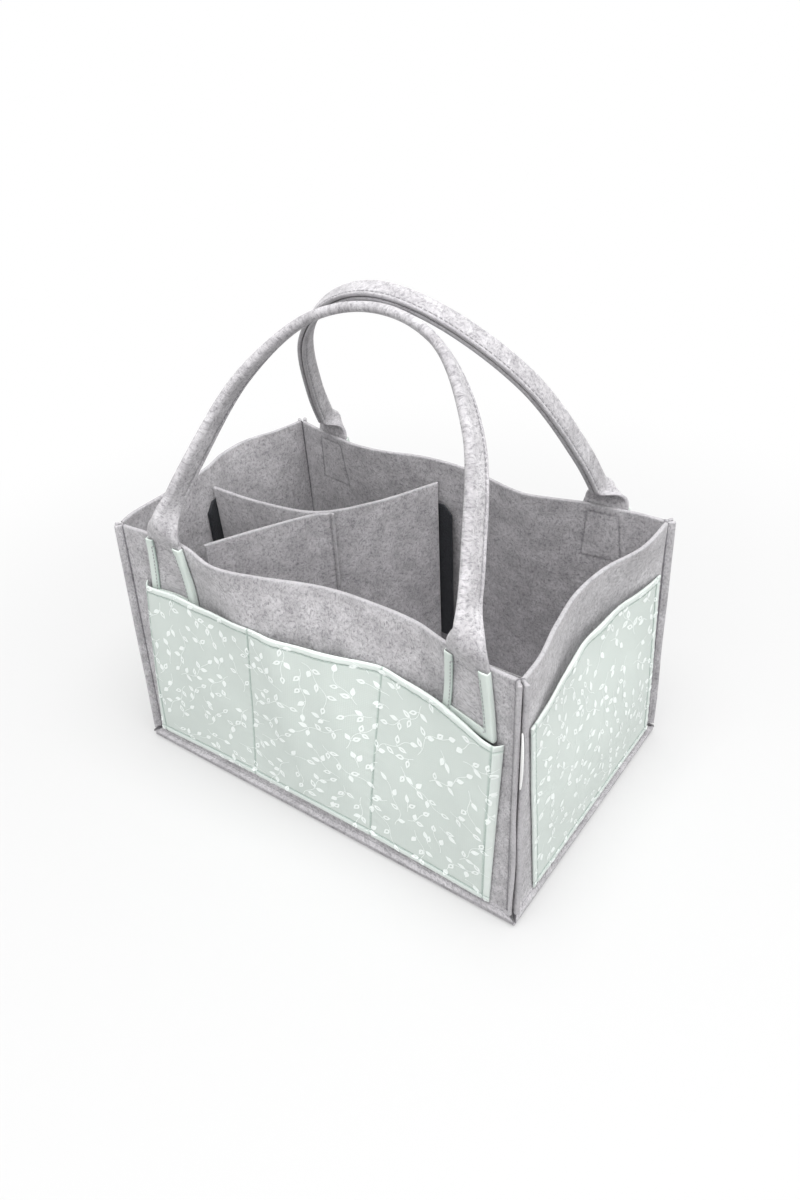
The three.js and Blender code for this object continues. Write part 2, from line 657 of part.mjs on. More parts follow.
for (const [wallName, handle] of Object.entries(handles)) {
  const [left, right] = handle.roots;
  const archPoint = ([x, h], side) => new THREE.Vector3(
    (left + right) / 2 + (side * x * (right - left)) / 2, h * archHeight, 0);
  handle.wall = walls[wallName];
  handle.curve = new THREE.CatmullRomCurve3([
    ...handle.arch.map((point) => archPoint(point, -1)),
    ...handle.arch.slice(0, -1).reverse().map((point) => archPoint(point, 1)),
  ]);
  handle.length = handle.curve.getLength();
  handle.lean = Math.asin((rimWidth / 2 - handle.apexInset) / archHeight);
  handle.leanTable = leanTableFor(handle.lean);
  handle.rootOffsets = handle.roots.map((root) => strapOffsetAt(handle.wall, root));

  const foldEnd = handle.length - handle.foldLength;
  const stations = [
    ...evenly(0, handle.foldLength, foldSteps),
    ...evenly(handle.foldLength, foldEnd, archSteps).slice(1, -1),
    ...evenly(foldEnd, handle.length, foldSteps),
  ];
  const strap = (length, width, face) => onStrap(handle, length, width, (face - 0.5) * feltThickness);
  addPiece(`${wallName}_handle_strap`, sheetSolid(stations, strapAcross, strap), feltGrey);

  const folded = stations.slice(foldSteps, -foldSteps);
  const inset = strapWidth / 2 - handleSeamInset;
  const surface = (length, width, height) => onStrap(handle, length, width, feltThickness / 2 + height);
  const thread = threadAlong(folded, [inset - threadWidth, inset], surface);
  addPiece(`${wallName}_handle_seam_thread`, thread, greyThread);
}

// Divider: one long felt panel from the left wall over the junction to the back wall,
// and a short one whose end is turned and sewn to it at the junction.
const stripInset = seamGap + hookStripThickness + seamGap;

function leftEndX(z) {
  return -(innerAt(walls.left, z) - bowAt(walls.left, dividerLeftEnd, z)) + stripInset;
}

// The back end stays inside the rim's largest bow, so that it clears the rim when lifted.
const backStripBow = Math.max(...evenly(-0.5, 0.5, 6).map(
  (share) => bowAt(walls.back, dividerBackEnd + share * hookStripWidth, wallHeight),
));
const backStripFace = innerAt(walls.back, wallHeight) - backStripBow - rimClearance;
const backWay = new THREE.Vector2(
  dividerBackEnd - dividerBackBend[0], backStripFace - dividerBackBend[1],
).normalize();
const backEndY = backStripFace - hookStripThickness - 2 * seamGap - (feltThickness / 2) * backWay.x;

function panelCurve(points) {
  return new THREE.CatmullRomCurve3(points.map(([x, y]) => new THREE.Vector3(x, y, 0)));
}

const longCurve = panelCurve([
  [leftEndX(0), dividerLeftEnd], dividerLeftBend, dividerJunction,
  dividerBackBend, [dividerBackEnd, backEndY],
]);
const longSteps = 22;
const shortSteps = 20;
const shareSteps = 200;

// The left end of the panel leans with the wall; that dies away over a third of its length.
function onLongPanel(share, z, height) {
  const p = longCurve.getPointAt(share);
  const way = longCurve.getTangentAt(share);
  const follow = Math.max(0, 1 - share * 3) ** 2 * (leftEndX(z) - leftEndX(0));
  return [p.x + follow + way.y * height, p.y - way.x * height, z];
}

function standing(place, share) {
  const [x, y] = place(share, 0, 0);
  return baseTopAt(x, y) + seamGap;
}

function panelSolid(place, steps) {
  const pointAt = (share, level, face) => {
    const height = (face - 0.5) * feltThickness;
    const low = standing(place, share);
    return place(share, low + (dividerTop - low) * level, height);
  };
  return sheetSolid(evenly(0, 1, steps), evenly(0, 1, 4), pointAt);
}

addPiece('divider_long_panel', panelSolid(onLongPanel, longSteps), feltGrey);

// The short panel's end lies on the long panel's face, just past the junction.
const junctionShare = longShareNear(dividerJunction);
const flapShare = dividerFlap / longCurve.getLength();
const flapHeight = feltThickness + seamGap;
const flapPoint = (past) => onLongPanel(junctionShare + past * flapShare, 0, flapHeight).slice(0, 2);
const shortCurve = panelCurve([
  dividerFrontEnd, dividerFrontBend, flapPoint(0), flapPoint(1), flapPoint(2),
]);

function longShareNear([x, y]) {
  const shares = evenly(0, 1, shareSteps);
  const distance = (share) => {
    const p = longCurve.getPointAt(share);
    return Math.hypot(p.x - x, p.y - y);
  };
  return shares.reduce((best, share) => (distance(share) < distance(best) ? share : best), 0);
}

function onShortPanel(share, z, height) {
  const p = shortCurve.getPointAt(share);
  const way = shortCurve.getTangentAt(share);
  return [p.x + way.y * height, p.y - way.x * height, z];
}

addPiece('divider_short_panel', panelSolid(onShortPanel, shortSteps), feltGrey);

// The stitches that hold the short panel's end run up the middle of its flap.
const flapStitch = 1 - dividerFlap / 2 / shortCurve.getLength();
const flapStitchWidth = threadWidth / shortCurve.getLength();
const flapSurface = (share, z, height) => onShortPanel(share, z, feltThickness / 2 + height);
const flapRows = [standing(onShortPanel, flapStitch) + dividerFlap, dividerTop - threadWidth];
addPiece('divider_seam_thread',
  threadAlong([flapStitch, flapStitch + flapStitchWidth], flapRows, flapSurface), greyThread);

// Hook tape on the three ends of the divider: flat strips with their top corners cut
// off, standing across the end of each panel.
function hookStrip(place) {
  const half = hookStripWidth / 2;
  const low = hookStripTop - hookStripHeight;
  const columns = [-half, -half + hookStripChamfer, half - hookStripChamfer, half];
  const pointAt = (s, level, face) => {
    const top = Math.abs(s) === half ? hookStripTop - hookStripChamfer : hookStripTop;
    return place(s, low + (top - low) * level, face * hookStripThickness);
  };
  return sheetSolid(columns, evenly(0, 1, 5), pointAt);
}

const leftStrip = (s, z, depth) => onWall(
  walls.left, dividerLeftEnd + s, z + leftStripRaise, -seamGap - depth);
const backStrip = (s, z, depth) => [dividerBackEnd + s, backStripFace - depth, z];
addPiece('left_hook_strip', hookStrip(leftStrip), hookTape);
addPiece('back_hook_strip', hookStrip(backStrip), hookTape);

const frontEndWay = shortCurve.getTangentAt(0);
const frontStrip = (s, z, depth) => {
  const back = seamGap + hookStripThickness - depth;
  return [
    dividerFrontEnd[0] - frontEndWay.x * back + frontEndWay.y * s,
    dividerFrontEnd[1] - frontEndWay.y * back - frontEndWay.x * s,
    z,
  ];
};
addPiece('front_hook_strip', hookStrip(frontStrip), hookTape);

// Label: a small folded tape caught at the end of the front right corner seam.
const labelStart = cornerFlange + seamGap;
addPiece('corner_label', sheetSolid(
  [labelStart, labelStart + labelReach],
  [labelBottom, labelBottom + labelHeight],
  (along, z, face) => {
    const across = (face - 0.5) * labelThickness;
    return [
      innerAt(walls.right, z) + (along - across) * diagonal,
      -innerAt(walls.front, z) - (along + across) * diagonal,
      z,
    ];
  },
), whiteLabel);

export default bag;
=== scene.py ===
import math

import bpy
import numpy as np
from mathutils import Matrix


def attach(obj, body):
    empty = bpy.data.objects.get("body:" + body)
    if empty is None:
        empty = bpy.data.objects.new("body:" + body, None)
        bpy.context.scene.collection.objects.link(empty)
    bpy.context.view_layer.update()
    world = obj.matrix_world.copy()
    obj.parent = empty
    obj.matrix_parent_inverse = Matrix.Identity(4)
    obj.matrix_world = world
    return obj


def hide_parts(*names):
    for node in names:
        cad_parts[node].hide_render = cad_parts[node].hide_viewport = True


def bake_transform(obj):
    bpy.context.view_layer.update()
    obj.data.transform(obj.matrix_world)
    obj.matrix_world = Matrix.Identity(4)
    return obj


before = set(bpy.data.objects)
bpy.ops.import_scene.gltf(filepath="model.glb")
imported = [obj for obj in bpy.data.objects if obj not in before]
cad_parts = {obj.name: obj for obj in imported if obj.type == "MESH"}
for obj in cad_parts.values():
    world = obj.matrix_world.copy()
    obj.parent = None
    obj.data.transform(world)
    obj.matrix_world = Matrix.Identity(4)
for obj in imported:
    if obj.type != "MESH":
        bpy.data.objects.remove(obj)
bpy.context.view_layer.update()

# The studio. The bag stands on a seamless white sweep under a large soft light overhead and
# two weak ones, and is seen from above its front right corner at a normal focal length.
scene = bpy.context.scene
white, bag_middle = (1, 1, 1, 1), (0, 0, 0.1)


def linear(hex_colour):
    """A colour written as sRGB hex, as linear red, green, blue and alpha: each channel is
    divided by 12.92 where it is dark, and raised to the power 2.4 where it is not."""
    srgb = np.array([int(hex_colour[i:i + 2], 16) / 255 for i in (1, 3, 5)])
    low, high = srgb / 12.92, ((srgb + 0.055) / 1.055) ** 2.4
    return (*np.where(srgb <= 0.04045, low, high).tolist(), 1.0)


def add(tree, kind, settings, out=0):
    """Adds one node and returns one of its outputs. Each setting names or numbers an input,
    or names a property, and gives its value or the socket that feeds it."""
    node = tree.nodes.new("ShaderNode" + kind)
    for key, value in settings.items():
        if isinstance(value, bpy.types.NodeSocket):
            tree.links.new(value, node.inputs[key])
        elif isinstance(key, int) or key in node.inputs:
            node.inputs[key].default_value = value
        else:
            setattr(node, key, value)
    return node.outputs[out] if node.outputs else None


def mixed(tree, share, first, second, blend_type="MIX"):
    """A blend of two colours, each of them a socket or sRGB hex."""
    first, second = (linear(colour) if isinstance(colour, str) else colour for colour in (first, second))
    return add(tree, "Mix", {"data_type": "RGBA", "blend_type": blend_type,
                             0: share, 6: first, 7: second}, 2)


def ranged(tree, value, low, high, to_low=0.0, to_high=1.0, curve="LINEAR"):
    """A value moved from one range to another and held at its ends."""
    return add(tree, "MapRange", {"interpolation_type": curve, "From Min": low, "From Max": high,
                                  "To Min": to_low, "To Max": to_high, "Value": value})


def maths(tree, operation, first, second):
    return add(tree, "Math", {"operation": operation, 0: first, 1: second})


def new_material(name):
    made = bpy.data.materials.new(name)
    made.use_nodes = True
    made.node_tree.nodes.clear()
    return made, made.node_tree


def new_object(name, data):
    made = bpy.data.objects.new(name, data)
    scene.collection.objects.link(made)
    return made


camera_place, camera_turn, camera_height, camera_roll = (0.3569, -0.4634, 0.5432), 37.10, 35.04, -3.09
camera_data = bpy.data.cameras.new("camera")
camera_data.sensor_width, camera_data.lens, camera_data.clip_end = 36, 28.956, 100
camera = new_object("camera", camera_data)
camera.matrix_world = Matrix.Translation(camera_place)
for angle, axis in ((camera_turn, "Z"), (90 - camera_height, "X"), (camera_roll, "Z")):
    camera.matrix_world = camera.matrix_world @ Matrix.Rotation(math.radians(angle), 4, axis)
scene.camera = camera
scene.view_settings.view_transform = "Standard"

world = bpy.data.worlds.new("studio")
scene.world = world
world.use_nodes = True
tree = world.node_tree
tree.nodes.clear()
rays = add(tree, "LightPath", {}).node.outputs
seen = maths(tree, "MAXIMUM", rays["Is Camera Ray"], rays["Is Glossy Ray"])
room_light, white_sweep = (add(tree, "Background", {"Color": white, "Strength": s}) for s in (0.68, 1.0))
chosen = add(tree, "MixShader", {0: seen, 1: room_light, 2: white_sweep})
add(tree, "OutputWorld", {"Surface": chosen})


def soft_box(name, place, size, watts):
    """A square lamp at a place, turned towards the middle of the bag."""
    data = bpy.data.lights.new(name, "AREA")
    data.shape, data.size, data.energy = "SQUARE", size, watts
    way = np.subtract(place, bag_middle)
    way /= np.linalg.norm(way)
    side = np.cross([0, 1, 0], way)
    side /= np.linalg.norm(side)
    axes = np.stack([side, np.cross(way, side), way, place], axis=1)
    new_object(name, data).matrix_world = Matrix([*axes, (0, 0, 0, 1)])


soft_box("overhead_soft_box", (0.3, -0.24, 1.9), 1.4, 38)
soft_box("front_soft_box", (0.3, -2.0, 1.4), 1.6, 9)
soft_box("right_soft_box", (2.0, -0.3, 1.2), 1.6, 10)

# A floor of white paper. It keeps the bag's soft shadow, and further out it fades into the
# white behind.
floor_material, tree = new_material("matt white paper sweep")
rays = add(tree, "LightPath", {}).node.outputs
tone = mixed(tree, rays["Is Camera Ray"], "#b8b8b8", "#c6c6c6")
paper = add(tree, "BsdfPrincipled", {"Roughness": 0.9, "Specular IOR Level": 0.1, "Base Color": tone})
glow = add(tree, "Emission", {"Color": white, "Strength": 1.0})
place = add(tree, "TexCoord", {}, "Object")
distance = add(tree, "VectorMath", {"operation": "LENGTH", 0: place}, "Value")
fade = ranged(tree, distance, 0.2, 0.7, 0.4, 1.0, "SMOOTHSTEP")
share = maths(tree, "MULTIPLY", rays["Is Camera Ray"], fade)
blended = add(tree, "MixShader", {0: share, 1: paper, 2: glow})
add(tree, "OutputMaterial", {"Surface": blended})
floor_mesh = bpy.data.meshes.new("floor")
floor_mesh.from_pydata([(-18, -18, 0), (18, -18, 0), (18, 18, 0), (-18, 18, 0)], [], [(0, 1, 2, 3)])
floor_mesh.materials.append(floor_material)
new_object("floor", floor_mesh)

# The base: one rectangle of 3 mm needled felt. Its four edges are turned down under the
# walls' lower edges and sewn to them, so that it rises a little towards every seam.
felt_thickness, seam_gap, base_sag_width, base_pull_width = 3.0, 0.3, 34.0, 4.0
wall_flange, base_flange, corner_flange, corner_flange_foot = 7.0, 9.0, 7.0, 2.5
base_length, base_width, rim_length, rim_width, wall_height = 343.0, 226.0, 338.0, 213.0, 200.0
diagonal = math.sqrt(0.5)
mitre = felt_thickness * (math.sqrt(2) - 1)
seam_reach = (wall_flange + seam_gap / 2 + felt_thickness) * diagonal
seam_root_z = (base_flange + seam_gap / 2 + felt_thickness) * diagonal
half_x, half_y = base_length / 2 - seam_reach, base_width / 2 - seam_reach
base_edge_z = seam_root_z - seam_gap * diagonal


def smooth(low, high, value):
    """0 up to low, 1 from high, and 3t^2 - 2t^3 between them."""
    t = np.clip((value - low) / (high - low), 0, 1)
    return t * t * (3 - 2 * t)


def lines(stops, step, beside=(0.3, 0.8, 1.5)):
    """Grid lines in mm: every stop, even steps between stops, and a few close lines beside
    each stop, where an edge is rounded or a seam pulls in."""
    found = [np.array(stops, float)]
    for low, high in zip(stops[:-1], stops[1:]):
        found.append(np.linspace(low, high, max(2, round((high - low) / step) + 1)))
        near = np.array([b for b in beside if b < (high - low) / 2])
        found += [low + near, high - near]
    return np.unique(np.round(np.concatenate(found), 3))


def gathered(x, y, z):
    return np.stack(np.broadcast_arrays(x, y, z), axis=-1).reshape(-1, 3)


def enclosed(points, quads):
    """Six times the volume inside closed quads, negative if they face inwards."""
    a, b, c, d = (points[quads[:, k]] for k in range(4))
    return (a * (np.cross(b, c) + np.cross(c, d))).sum()


def put_mesh(name, points, quads, material, attributes=()):
    """Puts whole arrays into a mesh: points in mm become metres, each row of quads is a face,
    and each attribute is one number or one vector for every point."""
    mesh = bpy.data.meshes.new(name)
    mesh.vertices.add(len(points))
    mesh.vertices.foreach_set("co", (points / 1000).astype(np.float32).ravel())
    mesh.loops.add(quads.size)
    mesh.loops.foreach_set("vertex_index", quads.astype(np.int32).ravel())
    mesh.polygons.add(len(quads))
    mesh.polygons.foreach_set("loop_start", 4 * np.arange(len(quads), dtype=np.int32))
    mesh.polygons.foreach_set("loop_total", np.full(len(quads), 4, np.int32))
    mesh.polygons.foreach_set("use_smooth", np.ones(len(quads), bool))
    for key, values in attributes:
        kind, field = ("FLOAT_VECTOR", "vector") if values.ndim == 2 else ("FLOAT", "value")
        mesh.attributes.new(key, kind, "POINT").data.foreach_set(field, values.astype(np.float32).ravel())
    mesh.materials.append(material)
    mesh.update(calc_edges=True)
    mesh.validate()
    return new_object(name, mesh)


def mount(piece, body, slot, *nodes):
    """Lets a piece ride on a body in place of solids; slot is not used."""
    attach(piece, body)
    if nodes:
        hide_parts(*nodes)
    return piece


# A cut edge keeps 0.4 of the cloth's thickness, and every piece is cut from another part of
# the cloth.
blunt, pattern_shift, piece_numbers = 0.4, (0.37, 0.61, 0.83), iter(range(1, 100))


def sheet_piece(name, columns, rows, place, material, keep=None, thickness=felt_thickness,
                edge=1.2, thin=None, marks=None):
    """A closed sheet. place(column, row, face) lays a grid out in space, in mm, for the
    inner face (0) and the outer face (1); the cells that keep says are cloth, and strips
    close every open edge. Near an edge the two faces draw together as a quarter circle
    does, and thin(column, row) draws them together along seams. The attribute flat holds
    the place on the flat cloth in metres, and raw is 1 at a cut edge."""
    c, r = np.meshgrid(columns, rows, indexing="ij")
    inside = np.minimum(np.minimum(c - columns[0], columns[-1] - c),
                        np.minimum(r - rows[0], rows[-1] - r))
    body = blunt + (1 - blunt) * np.sqrt(1 - (1 - np.clip(inside / edge, 0, 1)) ** 2)
    if thin is not None:
        body = body * thin(c, r)
    face = 0.5 + np.stack([-0.5 * body, 0.5 * body])
    points = gathered(*place(c, r, face))
    flat = gathered(c, r, (face - 0.5) * thickness) / 1000
    flat = flat + np.array(pattern_shift) * next(piece_numbers)
    number = np.arange(2 * c.size).reshape(2, *c.shape)

    def faces(i, j, *corners):
        """One quad for each cell. A corner is its face and its steps along i and j."""
        return np.stack([number[side, i + di, j + dj] for side, di, dj in corners], axis=1)

    cells = np.ones((len(columns) - 1, len(rows) - 1), bool)
    if keep is not None:
        cells = keep((c[:-1, :-1] + c[1:, 1:]) / 2, (r[:-1, :-1] + r[1:, 1:]) / 2)
    i, j = np.nonzero(cells)
    quads = [faces(i, j, (1, 0, 0), (1, 1, 0), (1, 1, 1), (1, 0, 1)),
             faces(i, j, (0, 0, 0), (0, 0, 1), (0, 1, 1), (0, 1, 0))]
    wide = np.pad(cells, 1)
    for di, dj, a, b in ((0, -1, (0, 0), (1, 0)), (1, 0, (1, 0), (1, 1)),
                         (0, 1, (1, 1), (0, 1)), (-1, 0, (0, 1), (0, 0))):
        beyond = wide[1 + di:1 + di + cells.shape[0], 1 + dj:1 + dj + cells.shape[1]]
        quads.append(faces(*np.nonzero(cells & ~beyond), (1, *a), (0, *a), (0, *b), (1, *b)))
    quads = np.concatenate(quads)
    if enclosed(points, quads) < 0:
        quads = quads[:, ::-1]
    used, index = np.unique(quads, return_inverse=True)
    attributes = [("flat", flat[used])]
    marks = {"raw": lambda c, r: np.exp(-inside / 1.1), **(marks or {})}
    attributes += [(key, np.tile(mark(c, r).ravel(), 2)[used]) for key, mark in marks.items()]
    return put_mesh(name, points[used], index.reshape(quads.shape), material, attributes)


# Needled wool and polyester felt in grey melange: short fibres of several greys lie in every
# direction, so it is cloudy, flecked and slightly hairy, and its cut edges catch the light.


def own(tree, key, out="Fac"):
    return add(tree, "Attribute", {"attribute_name": key}, out)


def noise(tree, place, scale, detail, roughness=0.5, distortion=0.0, out="Fac"):
    return add(tree, "TexNoise", {"Scale": scale, "Detail": detail, "Roughness": roughness,
                                  "Distortion": distortion, "Vector": place}, out)


def surface(tree, colour, look, relief=None):
    """Ends a material: look holds the shader's inputs, relief those of its bump."""
    normal = {"Normal": add(tree, "Bump", relief)} if relief else {}
    add(tree, "OutputMaterial", {
        "Surface": add(tree, "BsdfPrincipled", {**look, **normal, "Base Color": colour})})


felt, tree = new_material("needled grey melange felt")
flat, raw, sewn = own(tree, "flat", "Vector"), own(tree, "raw"), own(tree, "crease")
drift = noise(tree, flat, 140.0, 2.0, out="Color")
centred = add(tree, "VectorMath", {"operation": "SUBTRACT", 0: drift, 1: (0.5, 0.5, 0.5)})
bent = add(tree, "VectorMath", {"operation": "MULTIPLY_ADD", 0: centred, 1: (0.006, 0.006, 0.003), 2: flat})
clouds = noise(tree, bent, 70.0, 4.0, 0.65)
mottle = noise(tree, bent, 460.0, 7.0, 0.78, 0.15)
# Fibres are 20 to 60 micrometres thick and 5 to 15 mm long; drawn about 0.5 mm thick.
fibres = []
for turn, pitch in ((0.35, 900.0), (1.45, 760.0), (2.5, 900.0)):
    laid = add(tree, "Mapping", {"Rotation": (0.0, 0.0, turn), "Scale": (1.0, 0.4, 0.6), "Vector": bent})
    fibres.append(noise(tree, laid, pitch, 2.0))
crossed = maths(tree, "MAXIMUM", fibres[0], fibres[1])
ground = add(tree, "ValToRGB", {"Fac": mottle})
ramp = ground.node.color_ramp
ramp.elements[0].position, ramp.elements[0].color = 0.34, linear("#858387")
ramp.elements[1].position, ramp.elements[1].color = 0.66, linear("#d2d0d2")
ramp.elements.new(0.5).color = linear("#c1bfc2")
cloudy = mixed(tree, ranged(tree, clouds, 0.36, 0.62), ground, "#dddcdd", "MULTIPLY")
dark_share = maths(tree, "MULTIPLY", ranged(tree, crossed, 0.61, 0.69), 0.55)
flecked = mixed(tree, dark_share, cloudy, "#737174")
light_share = maths(tree, "MULTIPLY", ranged(tree, fibres[2], 0.55, 0.70), 0.2)
streaked = mixed(tree, light_share, flecked, "#e6e5e6")
cut_share = maths(tree, "MULTIPLY", raw, ranged(tree, mottle, 0.3, 0.62, 0.3, 0.8))
cut = mixed(tree, cut_share, streaked, "#a9a7aa")
# Painted shade: where the crease attribute is set, along the walls' corner seams and round the handles'
# stitch boxes, the felt is multiplied towards dark grey.
with_painted_shade = mixed(tree, sewn, cut, "#8d8b90", "MULTIPLY")
surface(tree, with_painted_shade,
        {"Roughness": 0.95, "Specular IOR Level": 0.15, "Sheen Weight": 0.3, "Sheen Roughness": 0.6},
        {"Strength": 0.75, "Distance": 0.0005, "Height": maths(tree, "ADD", mottle, crossed)})


def base_top(x, y):
    """The height of the base's upper face, which rises as a smooth step near the seams."""
    to_wall = np.minimum(half_x - np.abs(x), half_y - np.abs(y))
    return base_edge_z - (base_edge_z - felt_thickness) * smooth(0, base_sag_width, to_wall)


def base_place(c, r, face):
    """x = c and y = r. Past a seam the sheet goes down and out at 45 degrees. The under side
    is one thickness lower."""
    x_in, y_in = np.minimum(np.abs(c), half_x), np.minimum(np.abs(r), half_y)
    x_out, y_out = np.abs(c) > half_x, np.abs(r) > half_y
    to_wall = np.minimum(half_x - x_in, half_y - y_in)
    over = np.maximum(np.abs(c) - half_x, np.abs(r) - half_y)
    along = np.clip(over / base_flange, 0, 1)
    under, root = (1 - face) * felt_thickness, seam_gap + mitre * (1 - face)
    drop = seam_gap / 2 + under
    tip, tip_z = (base_flange - drop) * diagonal, seam_root_z - (base_flange + drop) * diagonal
    reach = np.where(over > 0, -root + (tip + root) * along, 0)
    shrink = np.where(over > 0, 0, root * smooth(base_pull_width, 0, to_wall))
    z = np.where(over > 0, (base_edge_z - under) * (1 - along) + tip_z * along,
                 base_top(x_in, y_in) - under)

    def outwards(value, inside, half, past, past_other):
        """A flange reaches out past its own seam, and is wider towards its mitred tips."""
        spread = np.where(past_other, 1 + (tip - seam_gap) * along / half, 1)
        pulled = (inside - shrink * (inside > half - base_pull_width)) * spread
        return np.sign(value) * np.where(past, half + reach, pulled)

    return outwards(c, x_in, half_x, x_out, y_out), outwards(r, y_in, half_y, y_out, x_out), z


base_lines = [lines([-half - base_flange, -half, half, half + base_flange], 4)
              for half in (half_x, half_y)]
# the corners past both seams are cut away
base = sheet_piece("base_felt", *base_lines, base_place, felt,
                   lambda c, r: (np.abs(c) < half_x) | (np.abs(r) < half_y))
mount(base, "bag", "felt", "base_panel")

# The four walls: each is one panel of the same felt. Neighbours are sewn edge to edge with
# both raw edges turned out, and the box is soft, so every rim bows in and out by itself.
calm_bow, low_bow_rise, low_bow = 0.7, 0.3, 0.22
pocket_top, pocket_bottom = 159.0, 10.5
length_taper, width_taper = (base_length - rim_length) / 2, (base_width - rim_width) / 2


def new_wall(along_x, way, rim_bow, mouth_bow=None):
    """A wall's half length and its distance from the middle, how much less both are at the
    rim, and its bows. place puts a distance along it, one outwards and a height in space."""
    longer, shorter = (half_x, length_taper), (half_y, width_taper)
    (half, half_taper), (inner, inner_taper) = (longer, shorter) if along_x else (shorter, longer)
    place = (lambda s, o, z: (s, way * o, z)) if along_x else (lambda s, o, z: (way * o, s, z))
    return {"half": half, "half_taper": half_taper, "inner": inner, "inner_taper": inner_taper,
            "place": place, "rim_bow": rim_bow, "mouth_bow": mouth_bow}


walls = {
    "front": new_wall(
        True, -1,
        [(-1, 0), (-0.87, 1.5), (-0.74, 4), (-0.6, 1.5), (-0.4, -6.5), (-0.18, 1.5), (0.06, 14.5),
         (0.28, 18), (0.5, 15.5), (0.64, 8.5), (0.75, 5.5), (0.87, 1.5), (1, 0)],
        [(-1, 0), (-0.86, 3.5), (-0.7, 6.5), (-0.5, 3), (-0.3, -3.5), (-0.15, -1), (0.05, 7.5),
         (0.25, 11.5), (0.42, 12), (0.58, 13.5), (0.72, 10), (0.87, 3.5), (1, 0)]),
    "back": new_wall(
        True, 1,
        [(-1, 0), (-0.87, 5.5), (-0.73, 10), (-0.58, 13.5), (-0.42, 11.5), (-0.25, 5), (-0.08, 3),
         (0.1, 6), (0.34, 15), (0.5, 10.5), (0.63, 5), (0.72, 3.5), (0.87, 0.5), (1, 0)]),
    "right": new_wall(
        False, 1,
        [(-1, 0), (-0.7, 2), (-0.4, 9), (-0.05, 13.5), (0.25, 10.5), (0.6, 0), (1, 0)],
        [(-1, 0), (-0.85, 1.2), (-0.65, 5), (-0.4, 11), (-0.1, 16.5), (0.15, 16.5), (0.4, 13.5),
         (0.6, 7.5), (0.8, 3), (1, 0)]),
    "left": new_wall(
        False, -1,
        [(-1, 0), (-0.8, -6), (-0.45, -7), (-0.05, -10), (0.2, -18), (0.45, -18), (0.7, -7), (1, 0)]),
}


def curve_through(points, x):
    """A smooth curve through points: between two of them a cubic whose slope at each is
    that of the line from the point before to the point after."""
    xs, ys = np.array(points, float).T
    last = len(xs) - 1
    before, after = np.maximum(np.arange(last + 1) - 1, 0), np.minimum(np.arange(last + 1) + 1, last)
    slopes = (ys[after] - ys[before]) / (xs[after] - xs[before])
    i = np.clip(np.searchsorted(xs, x, side="left") - 1, 0, last - 1)
    width = xs[i + 1] - xs[i]
    t = np.clip((x - xs[i]) / width, 0, 1)
    return ((1 + 2 * t) * (1 - t) ** 2 * ys[i] + t * t * (3 - 2 * t) * ys[i + 1]
            + width * t * (1 - t) * ((1 - t) * slopes[i] - t * slopes[i + 1]))


def rise_at(z):
    return np.maximum(z - seam_root_z, 0) / (wall_height - seam_root_z)


def inner_at(wall, z):
    return wall["inner"] - wall["inner_taper"] * rise_at(z)


def bow_at(wall, s, z):
    """How far the wall bows inwards. The rim and the height of the pocket mouths each have
    their own bow along the wall, and a smooth curve joins them over the height."""
    share = np.clip(s / wall["half"], -1, 1)
    rim = curve_through(wall["rim_bow"], share)
    mouth = curve_through(wall["mouth_bow"], share) if wall["mouth_bow"] else calm_bow * rim
    rise, mouth_rise = rise_at(z), rise_at(pocket_top)
    from_mouth = curve_through([(0, 0), (low_bow_rise, low_bow), (mouth_rise, 1), (1, 0)], rise)
    from_rim = curve_through([(0, 0), (low_bow_rise, 0), (mouth_rise, 0), (1, 1)], rise)
    return mouth * from_mouth + rim * from_rim


def face_at(wall, s, z):
    """How far out the wall's inner face is."""
    return inner_at(wall, z) - bow_at(wall, s, z)


def on_wall(wall, s, z, distance):
    """A point at a distance outwards from a wall's inner face, with the felt's own slight
    unevenness added, which dies out at the corners and at the foot."""
    calm = smooth(0, 25, wall["half"] - np.abs(s)) * smooth(0, 0.3, rise_at(z))
    uneven = 0.22 * np.sin(s / 9.1 + z / 23) * np.sin(z / 12.7 - s / 31) * calm
    return wall["place"](s, face_at(wall, s, z) + uneven + distance, z)


